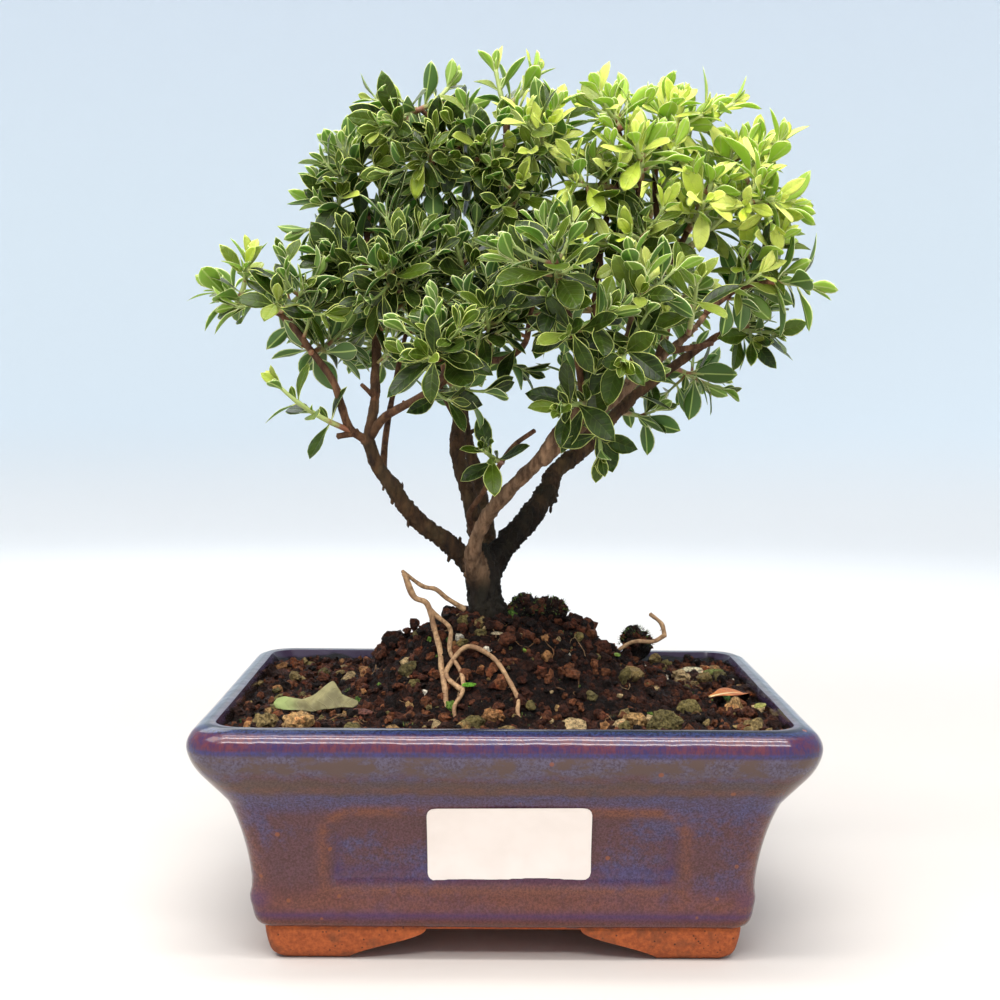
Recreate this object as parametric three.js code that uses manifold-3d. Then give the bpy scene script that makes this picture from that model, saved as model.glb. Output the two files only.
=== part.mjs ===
// Serissa bonsai with its glazed rectangular pot.
// Millimetres, +Z up. The pot stands on its four feet at z = 0, and X runs along its length.
import * as THREE from 'three';
import { mergeVertices } from 'three/addons/utils/BufferGeometryUtils.js';
import Module from 'manifold-3d';

const wasm = await Module();
wasm.setup();

// ---------------------------------------------------------------- driving dimensions
const RIM_LENGTH = 152;
const RIM_WIDTH = 126;
const RIM_CORNER = 9.5;
const CORNER_TAPER = 0.33;
const CORNER_STEPS = 3;
const FLOOR_TOP = 13;
const GAP = 0.3;

const PANEL_DEPTH = 1.2;
const PANEL_LOW = 20;
const PANEL_HIGH = 38.5;
const PANEL_HALF_LENGTH = 43;
const PANEL_CORNER = 7;
const PANEL_CORNER_STEPS = 3;

const FOOT_HEIGHT = 9;
const FOOT_WALL = 8;
const ARCH_LOW = 38;
const ARCH_HIGH = 19;
const SIDE_ARCH_LOW = 24;
const SIDE_ARCH_HIGH = 12;
const ARCH_STEPS = 5;
const ARCH_TOP = 0.93 * FOOT_HEIGHT;

const DRAIN_RADIUS = 7;
const DRAIN_X = 27;
const DRAIN_SIDES = 12;
const SCREEN_SIZE = 20;
const SCREEN_THICK = 0.9;
const SCREEN_HOLES = 2;
const SCREEN_HOLE_SIZE = 6.4;

const LABEL_LENGTH = 39.7;
const LABEL_HEIGHT = 19.4;
const LABEL_CENTRE = [1.2, 31];
const LABEL_CORNER = 3;
const LABEL_THICK = 0.6;
const LABEL_TILT = 0.01;
const LABEL_BEND = [34.6, 38.2];

const SOIL_LEVEL = 57.6;
const SOIL_SLOPE = 0.02;
const MOUND_RISE = 21.5;
const MOUND_CENTRE = [-2.4, -0.1];
const MOUND_LEFT = 39;
const MOUND_RIGHT = 49;
const MOUND_DEPTH = 35;
const MOUND_SHOULDER = 0.25;
const ROOT_BALL = { x: -24, y: 2, rise: 1, reach: 16 };
const SOIL_CELLS = [13, 10];

// The tree's scale and place in the pot, for every route and tip given below.
const PLANT_SCALE = 1.026;
const PLANT_SHIFT = [-0.3, -4.2, -1.9];

const STEM_RADIUS = 0.66;
const STEM_SIDES = 3;
const STEM_STEPS = 2;
const BLADE_WIDTH_RATIO = 0.44;
const BLADE_DEPTH = 1.0;
const BLADE_SUNK = 0.25;
const BLADE_CLEAR = 2.2;
const FALLEN_WIDTH_RATIO = 0.34;
const FALLEN_LIFT = 0.3;
const BLADE_FOLD = 0.12;
const BLADE_ARCH = 0.16;
const NODE_SPACING = 5.2;
const END_PAIR = 1.2;
const FACE_UP = 0.6;

// Pot outline: how far each level lies inside the rim's widest line, and its height.
const OUTER_PROFILE = [
  [18.6, 8.2], [15.2, 9.8], [14.4, 12.5], [14.4, 17], [13.3, 26], [11.5, 34], [9.4, 40],
  [6.9, 43.8], [3.8, 47.4], [1.2, 51.2], [0, 55.8], [0.8, 58.8], [3.4, 60.6],
];
const INNER_PROFILE = [
  [19.5, FLOOR_TOP], [18.3, 28], [16.0, 40], [12.2, 47.5], [9.0, 52.5], [7.6, 57.2],
  [6.4, 60.6], [6.4, 62],
];
const FOOT_PROFILE = [[20.6, 0], [18.6, 1.6], [17.6, 4.5], [17.1, 7.4], [17.1, FOOT_HEIGHT]];

// ---------------------------------------------------------------- mesh and solid helpers
const vector = (p) => new THREE.Vector3(p[0], p[1], p[2]);
const planted = (p) => vector(p).multiplyScalar(PLANT_SCALE).add(vector(PLANT_SHIFT));

function loft(rings) {
  const count = rings[0].length;
  const last = rings.length - 1;
  const index = [];
  for (let i = 0; i < last; i += 1) {
    for (let j = 0; j < count; j += 1) {
      const k = (j + 1) % count;
      index.push(i * count + j, i * count + k, (i + 1) * count + k);
      index.push(i * count + j, (i + 1) * count + k, (i + 1) * count + j);
    }
  }
  for (let j = 1; j < count - 1; j += 1) {
    index.push(0, j + 1, j);
    index.push(last * count, last * count + j, last * count + j + 1);
  }
  const geometry = new THREE.BufferGeometry().setFromPoints(rings.flat());
  geometry.setIndex(index);
  return geometry;
}

function solidOf(source) {
  const bare = source.clone();
  bare.deleteAttribute('normal');
  bare.deleteAttribute('uv');
  const merged = mergeVertices(bare, 1e-4);
  return new wasm.Manifold(new wasm.Mesh({
    numProp: 3,
    vertProperties: Float32Array.from(merged.attributes.position.array),
    triVerts: Uint32Array.from(merged.index.array),
  }));
}

function geometryOf(solid) {
  const mesh = solid.getMesh();
  const geometry = new THREE.BufferGeometry();
  geometry.setAttribute('position', new THREE.BufferAttribute(mesh.vertProperties, 3));
  geometry.setIndex(new THREE.BufferAttribute(mesh.triVerts, 1));
  geometry.computeVertexNormals();
  return geometry;
}

const unite = (solids) => solids.reduce((whole, next) => whole.add(next));

function boxSolid(size, centre) {
  const box = new THREE.BoxGeometry(size[0], size[1], size[2]);
  return solidOf(box.translate(centre[0], centre[1], centre[2]));
}

// Extrudes a flat outline, drawn in X and Z, through the whole depth of the pot along Y.
function prismAlongY(shape, length) {
  const options = { depth: length, bevelEnabled: false, curveSegments: PANEL_CORNER_STEPS };
  const prism = new THREE.ExtrudeGeometry(shape, options);
  return solidOf(prism.translate(0, 0, -length / 2).rotateX(Math.PI / 2));
}

function turned(solid) {
  return solidOf(geometryOf(solid).rotateZ(Math.PI / 2));
}

// ---------------------------------------------------------------- seeded random draws
function randomSource(seed) {
  let state = seed >>> 0;
  return () => {
    state = (state + 0x6d2b79f5) >>> 0;
    let mix = state;
    mix = Math.imul(mix ^ (mix >>> 15), mix | 1);
    mix ^= mix + Math.imul(mix ^ (mix >>> 7), mix | 61);
    return ((mix ^ (mix >>> 14)) >>> 0) / 4294967296;
  };
}

// ---------------------------------------------------------------- pot
function potRing(inset, z) {
  const halfX = RIM_LENGTH / 2 - inset;
  const halfY = RIM_WIDTH / 2 - inset;
  const radius = RIM_CORNER - CORNER_TAPER * inset;
  const ring = [];
  for (let corner = 0; corner < 4; corner += 1) {
    const signX = corner === 0 || corner === 3 ? 1 : -1;
    const signY = corner < 2 ? 1 : -1;
    for (let step = 0; step <= CORNER_STEPS; step += 1) {
      const angle = (corner + step / CORNER_STEPS) * (Math.PI / 2);
      const x = signX * (halfX - radius) + radius * Math.cos(angle);
      const y = signY * (halfY - radius) + radius * Math.sin(angle);
      ring.push(new THREE.Vector3(x, y, z));
    }
  }
  return ring;
}

function potLoft(profile, inset = 0) {
  return solidOf(loft(profile.map(([distance, z]) => potRing(distance + inset, z))));
}

function panelShape(halfLength, inset) {
  const shape = new THREE.Shape();
  const half = halfLength - inset;
  const low = PANEL_LOW + inset;
  const high = PANEL_HIGH - inset;
  const corner = PANEL_CORNER - inset;
  shape.moveTo(-half, low);
  shape.lineTo(half, low);
  shape.lineTo(half, high - corner);
  shape.quadraticCurveTo(half, high, half - corner, high);
  shape.lineTo(-half + corner, high);
  shape.quadraticCurveTo(-half, high, -half, high - corner);
  shape.closePath();
  return shape;
}

function archShape(low, high) {
  const shape = new THREE.Shape();
  shape.moveTo(-low, -1);
  shape.lineTo(low, -1);
  for (let step = 0; step <= ARCH_STEPS; step += 1) {
    const t = step / ARCH_STEPS;
    const swing = 0.5 - 0.5 * Math.cos(Math.PI * t);
    shape.lineTo(low + (high - low) * swing, ARCH_TOP * t);
  }
  for (let step = ARCH_STEPS; step >= 0; step -= 1) {
    const t = step / ARCH_STEPS;
    const swing = 0.5 - 0.5 * Math.cos(Math.PI * t);
    shape.lineTo(-low - (high - low) * swing, ARCH_TOP * t);
  }
  shape.closePath();
  return shape;
}

function footRing() {
  const block = potLoft(FOOT_PROFILE);
  const span = RIM_LENGTH;
  const lengthwise = RIM_LENGTH - 2 * (FOOT_PROFILE[3][0] + FOOT_WALL);
  const crosswise = RIM_WIDTH - 2 * (FOOT_PROFILE[3][0] + FOOT_WALL);
  const tall = 4 * FOOT_HEIGHT;
  const longArch = prismAlongY(archShape(ARCH_LOW, ARCH_HIGH), span);
  const shortArch = turned(prismAlongY(archShape(SIDE_ARCH_LOW, SIDE_ARCH_HIGH), 2 * span));
  const longRails = block.subtract(boxSolid([2 * span, crosswise, tall], [0, 0, 0]));
  const shortRails = block.subtract(boxSolid([lengthwise, 2 * span, tall], [0, 0, 0]));
  return longRails.subtract(longArch).add(shortRails.subtract(shortArch));
}

function buildPot() {
  const core = potLoft(OUTER_PROFILE, PANEL_DEPTH);
  const longPanel = prismAlongY(panelShape(PANEL_HALF_LENGTH, 0), 2 * RIM_WIDTH);
  const drain = new THREE.CylinderGeometry(DRAIN_RADIUS, DRAIN_RADIUS, 4 * FLOOR_TOP, DRAIN_SIDES);
  drain.rotateX(Math.PI / 2);
  return potLoft(OUTER_PROFILE)
    .subtract(longPanel.subtract(core))
    .subtract(potLoft(INNER_PROFILE))
    .add(footRing())
    .subtract(solidOf(drain.clone().translate(DRAIN_X, 0, 0)))
    .subtract(solidOf(drain.clone().translate(-DRAIN_X, 0, 0)));
}

// A thin plate that follows the hollow of the front panel.
// How far the wall lies inside the rim's widest line at height z.
function wallInset(z) {
  const next = OUTER_PROFILE.findIndex(([, level]) => level > z);
  const [low, base] = OUTER_PROFILE[next - 1];
  const [high, top] = OUTER_PROFILE[next];
  return low + (high - low) * (z - base) / (top - base);
}

// The surface under the label: the panel's face, then over its upper edge onto the wall.
function labelBed() {
  const [panelEnd, wallStart] = LABEL_BEND;
  const panel = OUTER_PROFILE.filter(([, z]) => z < panelEnd);
  const wall = OUTER_PROFILE.filter(([, z]) => z > wallStart);
  return [
    ...panel.map(([inset, z]) => [inset + PANEL_DEPTH, z]),
    [wallInset(panelEnd) + PANEL_DEPTH, panelEnd],
    [wallInset(wallStart), wallStart],
    ...wall,
  ];
}

function buildLabel() {
  const half = [LABEL_LENGTH / 2, LABEL_HEIGHT / 2];
  const shape = new THREE.Shape();
  shape.moveTo(-half[0] + LABEL_CORNER, -half[1]);
  shape.lineTo(half[0] - LABEL_CORNER, -half[1]);
  shape.quadraticCurveTo(half[0], -half[1], half[0], -half[1] + LABEL_CORNER);
  shape.lineTo(half[0], half[1] - LABEL_CORNER);
  shape.quadraticCurveTo(half[0], half[1], half[0] - LABEL_CORNER, half[1]);
  shape.lineTo(-half[0] + LABEL_CORNER, half[1]);
  shape.quadraticCurveTo(-half[0], half[1], -half[0], half[1] - LABEL_CORNER);
  shape.lineTo(-half[0], -half[1] + LABEL_CORNER);
  shape.quadraticCurveTo(-half[0], -half[1], -half[0] + LABEL_CORNER, -half[1]);
  const depth = RIM_WIDTH / 2;
  const blank = new THREE.ExtrudeGeometry(shape, { depth, bevelEnabled: false, curveSegments: 4 });
  blank.rotateX(Math.PI / 2).rotateY(-LABEL_TILT).translate(LABEL_CENTRE[0], 0, LABEL_CENTRE[1]);
  const inner = potLoft(labelBed(), -GAP);
  const outer = potLoft(labelBed(), -GAP - LABEL_THICK);
  return solidOf(blank).intersect(outer).subtract(inner);
}

function buildScreen(centreX) {
  const half = SCREEN_SIZE / 2;
  const middle = FLOOR_TOP + GAP + SCREEN_THICK / 2;
  const pitch = SCREEN_SIZE / SCREEN_HOLES;
  const hole = [SCREEN_HOLE_SIZE, SCREEN_HOLE_SIZE, 2 * SCREEN_THICK];
  const holes = [];
  for (let i = 0; i < SCREEN_HOLES; i += 1) {
    for (let j = 0; j < SCREEN_HOLES; j += 1) {
      const x = centreX - half + pitch * (i + 0.5);
      const y = -half + pitch * (j + 0.5);
      holes.push(boxSolid(hole, [x, y, middle]));
    }
  }
  const plate = boxSolid([SCREEN_SIZE, SCREEN_SIZE, SCREEN_THICK], [centreX, 0, middle]);
  return plate.subtract(unite(holes));
}

// ---------------------------------------------------------------- wood
// A limb's radii at its start and end, the sides of its section, and the points of its route.
const limb = (start, end, sides, route) => ({ start, end, sides, route: route.map(planted) });

const TRUNK = {
  sides: 9,
  route: [[-4, 0, 60], [-4, 0, 74], [-4, 0, 80], [-5, 0, 86], [-6, 0, 92], [-6, 1, 97]].map(planted),
  radii: [3.2, 6.1, 5.9, 4.9, 4.8, 4.0],
};

const LIMBS = {
  left_limb: limb(2.9, 1.9, 6, [[-6, 0, 90], [-11, -1, 96], [-17, -3, 101], [-22, -5, 105],
    [-26, -7, 110], [-29, -9, 115], [-32, -10, 119], [-35, -12, 127]]),
  left_low: limb(1.2, 0.7, 4, [[-35, -12, 126], [-39, -14, 129], [-41, -16, 135],
    [-43, -17, 141], [-49, -16, 149], [-53, -14, 154], [-59, -10, 159], [-66, -6, 161]]),
  left_stub: limb(1.1, 0.8, 4, [[-37, -13, 128], [-42, -15, 127]]),
  left_up: limb(1.5, 0.7, 4, [[-35, -12, 125], [-33, -12, 135], [-33, -10, 143],
    [-33, -6, 155], [-36, -2, 167], [-36, 0, 176], [-36, 1, 184], [-39, 2, 193]]),
  left_spike: limb(0.8, 0.5, 4, [[-33, -12, 137], [-36, -15, 140]]),
  left_mid: limb(1.3, 0.7, 4, [[-34, -12, 127], [-30, -16, 132], [-21, -23, 137],
    [-16, -30, 141], [-14, -36, 145]]),
  left_mid_fork: limb(0.9, 0.6, 4, [[-19, -26, 138], [-12, -27, 143], [-7, -24, 147],
    [-4, -22, 151]]),
  left_rear: limb(1.0, 0.6, 4, [[-31, -9, 117], [-31, 0, 126], [-30, 10, 136], [-28, 20, 149],
    [-25, 26, 163]]),
  centre_limb: limb(2.4, 0.9, 6, [[-6, 1, 92], [-7, 2, 101], [-9, 3, 111], [-12, 5, 121],
    [-12, 7, 131], [-11, 7, 139], [-7, 8, 148], [-1, 8, 156], [-1, 8, 166], [0, 8, 177],
    [1, 7, 187], [0, 5, 199], [0, 4, 211]]),
  centre_front: limb(1.0, 0.6, 4, [[-7, 8, 147], [0, -2, 147], [5, -10, 151], [6, -17, 158],
    [8, -20, 164]]),
  top_left: limb(1.1, 0.6, 4, [[0, 6, 187], [-4, 4, 193], [-9, 2, 198], [-16, -2, 205],
    [-22, -4, 210]]),
  front_limb: limb(2.3, 0.9, 6, [[-7, -1, 86], [-8, -6, 97], [-3, -13, 109], [7, -19, 120],
    [15, -23, 131], [22, -25, 137], [26, -27, 143], [29, -30, 151], [30, -32, 158]]),
  front_up: limb(1.0, 0.6, 4, [[19, -25, 135], [18, -28, 142], [16, -33, 151], [14, -38, 158],
    [12, -43, 164]]),
  front_right: limb(1.7, 0.7, 6, [[9, -20, 121], [20, -19, 131], [30, -16, 139],
    [40, -12, 148], [47, -9, 154], [54, -5, 162]]),
  right_stub: limb(1.0, 0.6, 4, [[41, -12, 149], [47, -13, 150], [52, -14, 151]]),
  right_low: limb(0.9, 0.6, 4, [[51, -7, 159], [59, -8, 165], [67, -8, 167]]),
  right_out: limb(1.2, 0.7, 4, [[38, -13, 146], [41, -8, 155], [40, -3, 164], [40, 3, 176],
    [39, 6, 194], [40, 6, 206]]),
  right_far: limb(1.0, 0.6, 4, [[40, -1, 169], [45, 3, 176], [50, 6, 186], [54, 9, 194]]),
  right_limb: limb(3.8, 1.0, 6, [[-5, 1, 88], [-2, 4, 95], [6, 8, 104], [12, 12, 112],
    [14, 15, 117], [24, 20, 125], [34, 23, 136], [48, 24, 147], [61, 22, 156]]),
  right_mid: limb(1.6, 0.7, 4, [[21, 19, 122], [23, 16, 132], [21, 13, 142], [23, 9, 153],
    [24, 6, 165], [25, 4, 178], [27, 2, 187], [30, 1, 198], [29, 0, 206]]),
  right_top: limb(0.9, 0.6, 4, [[25, 4, 178], [30, 2, 181], [33, -2, 186], [34, -5, 193]]),
  front_twig: limb(0.8, 0.6, 4, [[-8, 0, 102], [-9, -5, 107], [-6, -11, 112], [-2, -15, 119],
    [2, -20, 125], [7, -26, 129]]),
  rear_limb: limb(2.4, 0.9, 6, [[-5, 3, 90], [-4, 13, 100], [-7, 24, 114], [-11, 32, 130],
    [-12, 38, 149], [-10, 42, 169], [-7, 40, 187]]),
  rear_left: limb(1.0, 0.6, 4, [[-11, 31, 127], [-18, 38, 140], [-22, 44, 152]]),
  rear_right: limb(1.3, 0.7, 4, [[30, 22, 131], [35, 32, 141], [38, 40, 155], [41, 44, 172],
    [41, 42, 188]]),
  rear_mid: limb(1.0, 0.6, 4, [[-12, 38, 149], [2, 46, 161], [12, 50, 175]]),
};

// Thin surface roots: they leave the trunk's foot, arch clear of the mound and dip into the soil.
const ROOTS = {
  surface_roots_left: [
    limb(0.75, 0.5, 4, [[-10, -3.5, 82], [-14.5, -5, 85], [-17.5, -6, 87.5], [-21, -7, 88.5],
      [-26, -9, 92.5]]),
    limb(0.8, 0.7, 4, [[-25.5, -9, 92], [-23, -9, 86], [-19.5, -9, 84], [-17.5, -10.5, 77.5],
      [-16, -15, 73], [-15.5, -19, 69], [-14.5, -24, 65], [-14, -27.5, 60.5]]),
    limb(0.65, 0.5, 4, [[-19.5, -9, 83.5], [-17, -9.5, 81], [-13.5, -11.5, 78],
      [-13.5, -16, 73], [-10.5, -21.5, 68.5], [-10, -27, 65], [-12, -29.5, 61.5],
      [-11.5, -31.5, 58]]),
    limb(0.65, 0.55, 4, [[-10.2, -26.5, 65], [-14, -22, 67.5], [-13.5, -19, 70], [-9, -17.5, 74.5],
      [-2.5, -20, 72], [1.5, -25, 67], [3.5, -29.5, 63.5], [3.5, -33, 60.5], [6, -36, 56.5]]),
  ],
  surface_root_right: [
    limb(0.5, 0.65, 4, [[29, 4, 69], [34.5, 4, 72.5], [40, 5, 72.5], [43.5, 6, 74.2]]),
    limb(0.65, 0.55, 4, [[43.3, 6, 73.8], [42.5, 7, 77], [39.5, 8, 79.5]]),
  ],
};

function frameAlong(curve, steps, firstNormal) {
  const frames = [];
  let normal = firstNormal;
  for (let i = 0; i <= steps; i += 1) {
    const t = i / steps;
    const tangent = curve.getTangent(t).normalize();
    normal = normal.clone().addScaledVector(tangent, -normal.dot(tangent)).normalize();
    const across = tangent.clone().cross(normal);
    frames.push({ t, point: curve.getPoint(t), tangent, normal, across });
  }
  return frames;
}

// A tapered tube of flat sides. Grown by a gap, it reaches that much further on all sides.
function tube(curve, radiusAt, sides, steps, grow, normal = new THREE.Vector3(0, 1, 0)) {
  const frames = frameAlong(curve, steps, normal);
  frames[0].point.addScaledVector(frames[0].tangent, -grow);
  frames[steps].point.addScaledVector(frames[steps].tangent, grow);
  return solidOf(loft(frames.map((frame) => {
    const radius = radiusAt(frame.t) + grow / Math.cos(Math.PI / sides);
    return Array.from({ length: sides }, (_, side) => {
      const angle = (side / sides) * 2 * Math.PI;
      return frame.point.clone()
        .addScaledVector(frame.normal, radius * Math.cos(angle))
        .addScaledVector(frame.across, radius * Math.sin(angle));
    });
  })));
}

const smoothCurve = (route) => new THREE.CatmullRomCurve3(route, false, 'catmullrom', 0.5);

function limbTube(item, grow) {
  const steps = item.route.length - 1;
  const radiusAt = (t) => item.start + (item.end - item.start) * t;
  return tube(smoothCurve(item.route), radiusAt, item.sides, steps, grow);
}

function trunkTube(grow) {
  const last = TRUNK.radii.length - 1;
  const radiusAt = (t) => TRUNK.radii[Math.round(t * last)];
  return tube(smoothCurve(TRUNK.route), radiusAt, TRUNK.sides, last, grow);
}

function buildWood(grow = 0) {
  return unite([trunkTube(grow), ...Object.values(LIMBS).map((item) => limbTube(item, grow))]);
}

const rootTubes = (name, grow = 0) => unite(ROOTS[name].map((item) => limbTube(item, grow)));

// ---------------------------------------------------------------- soil
const smooth = (t) => {
  const clipped = Math.min(Math.max(t, 0), 1);
  return clipped * clipped * (3 - 2 * clipped);
};

function moundHeight(x, y) {
  const reach = x < MOUND_CENTRE[0] ? MOUND_LEFT : MOUND_RIGHT;
  const across = (x - MOUND_CENTRE[0]) / reach;
  const along = (y - MOUND_CENTRE[1]) / MOUND_DEPTH;
  const distance = Math.hypot(across, along);
  const mound = MOUND_RISE * (1 - smooth(distance - MOUND_SHOULDER));
  const fromBall = Math.hypot(x - ROOT_BALL.x, y - ROOT_BALL.y);
  const ball = ROOT_BALL.rise * (1 - smooth(fromBall / ROOT_BALL.reach));
  const coarse = 0.5 * Math.sin(0.55 * x + 1.3) * Math.sin(0.6 * y);
  const fine = 0.35 * Math.sin(0.9 * y - 0.4 * x);
  return SOIL_LEVEL - SOIL_SLOPE * y + mound + ball + coarse + fine;
}

function soilField() {
  const [cellsX, cellsY] = SOIL_CELLS;
  const plane = new THREE.PlaneGeometry(RIM_LENGTH, RIM_WIDTH, cellsX, cellsY);
  const top = plane.attributes.position;
  const points = [];
  for (let i = 0; i < top.count; i += 1) {
    points.push(new THREE.Vector3(top.getX(i), top.getY(i), moundHeight(top.getX(i), top.getY(i))));
  }
  const index = Array.from(plane.index.array);
  const row = cellsX + 1;
  const edge = [];
  for (let i = 0; i < cellsX; i += 1) {
    edge.push(i);
  }
  for (let j = 0; j < cellsY; j += 1) {
    edge.push(j * row + cellsX);
  }
  for (let i = cellsX; i > 0; i -= 1) {
    edge.push(cellsY * row + i);
  }
  for (let j = cellsY; j > 0; j -= 1) {
    edge.push(j * row);
  }
  const base = points.length;
  edge.forEach((corner) => points.push(points[corner].clone().setZ(0)));
  const centre = points.length;
  points.push(new THREE.Vector3(0, 0, 0));
  edge.forEach((corner, i) => {
    const next = (i + 1) % edge.length;
    index.push(corner, edge[next], base + next);
    index.push(corner, base + next, base + i);
    index.push(centre, base + i, base + next);
  });
  const field = new THREE.BufferGeometry().setFromPoints(points);
  field.setIndex(index);
  return solidOf(field);
}

// Lumps of root ball and moss, and pebbles: centre x, y, how far it stands proud, and radii.
const CLUMPS = [
  [6, -2, 3.2, [5.2, 5, 5.4]], [13, 0, 3.4, [4.6, 4.6, 4.6]], [37, 10, 7.8, [4.8, 4.6, 5.4]],
];
const PEBBLES = [
  [-50, -47, 3.2], [-58, -51, 2.6], [-8, -46, 2.6], [-3, -39, 2.4], [16, -49, 2.8],
  [39, -46, 3.2], [32, -41, 2.6], [60, -50, 2.6], [20, 1, 4.2], [-30, 0, 5.5], [-13, 5, 4.0],
  [48, -22, 2.4], [-18, 30, 2.8], [52, 28, 2.6],
];

function lump(centre, radii, detail, seed) {
  const random = randomSource(seed);
  const ball = new THREE.IcosahedronGeometry(1, detail);
  ball.rotateX(random() * Math.PI).rotateZ(random() * Math.PI);
  ball.scale(radii[0], radii[1], radii[2]);
  return solidOf(ball.translate(centre[0], centre[1], centre[2]));
}

function buildSoil(woodRoom, rootRoom) {
  const filling = INNER_PROFILE.slice(0, -1).map(([inset, z]) => [inset + GAP, z]);
  filling[0][1] = FLOOR_TOP + GAP;
  filling.push([filling[filling.length - 1][0], 120]);
  const clumps = CLUMPS.map(([x, y, proud, radii], i) => {
    const z = moundHeight(x, y) + proud - radii[2] / 2;
    return lump([x, y, z], radii, 1, 100 + i);
  });
  const pebbles = PEBBLES.map(([x, y, radius], i) => {
    const radii = [radius * 1.2, radius, radius * 0.8];
    return lump([x, y, moundHeight(x, y) + 0.2 * radius], radii, 0, 200 + i);
  });
  const screenRoom = [-DRAIN_X, DRAIN_X].map((x) => {
    const side = SCREEN_SIZE + 2 * GAP;
    const tall = 2 * (SCREEN_THICK + 2 * GAP);
    return boxSolid([side, side, tall], [x, 0, FLOOR_TOP]);
  });
  return unite([soilField(), ...clumps, ...pebbles])
    .intersect(potLoft(filling))
    .subtract(unite(screenRoom))
    .subtract(woodRoom)
    .subtract(rootRoom);
}

// ---------------------------------------------------------------- leaves
// Where along a blade its two sections lie, and each one's share of the blade's width.
const BLADE_STATIONS = [[0.32, 0.92], [0.7, 0.88]];

// From a shoot's end pair downwards: lean from the stem in radians, and share of a full leaf.
const PAIR_LEANS = [0.5, 0.95, 1.15, 1.25];
const PAIR_SHARES = [0.72, 0.92, 1, 1];

// One leaf: a channelled upper face over a keel, arched along its length, with a pointed tip.
// It starts in a point sunk in the stem.
function bladeSolid(leaf, grow = 0) {
  const side = leaf.face.clone().cross(leaf.direction);
  const along = (distance, lift) => leaf.base.clone()
    .addScaledVector(leaf.direction, distance)
    .addScaledVector(leaf.face, lift);
  const rings = BLADE_STATIONS.map(([t, share]) => {
    const half = leaf.width * 0.5 * share + grow;
    const sag = BLADE_ARCH * leaf.length * t * t;
    const keel = BLADE_DEPTH * (1 - 0.3 * t) + 2 * grow;
    const edge = along(leaf.length * t, BLADE_FOLD * half - sag + grow);
    return [
      edge.clone().addScaledVector(side, half),
      edge.clone().addScaledVector(side, -half),
      along(leaf.length * t, BLADE_FOLD * half - sag + grow - keel),
    ];
  });
  const count = 3 * rings.length;
  const index = [];
  for (let j = 0; j < 3; j += 1) {
    const k = (j + 1) % 3;
    index.push(count, k, j);
    for (let i = 0; i < count - 3; i += 3) {
      index.push(i + j, i + k, i + 3 + k);
      index.push(i + j, i + 3 + k, i + 3 + j);
    }
    index.push(count - 3 + j, count - 3 + k, count + 1);
  }
  const root = along(-BLADE_SUNK - grow, -BLADE_SUNK / 2);
  const tip = along(leaf.length + 2 * grow, -BLADE_ARCH * leaf.length - grow);
  const geometry = new THREE.BufferGeometry().setFromPoints([...rings.flat(), root, tip]);
  geometry.setIndex(index);
  return solidOf(geometry);
}

// A leafy shoot: the limb or shoot it grows from, where along it (0 to 1), its tip,
// its pairs of leaves below the end pair, and the length of a full leaf.
const shoot = (from, at, tip, pairs, leaf) => ({ from, at, tip: planted(tip), pairs, leaf });

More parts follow.
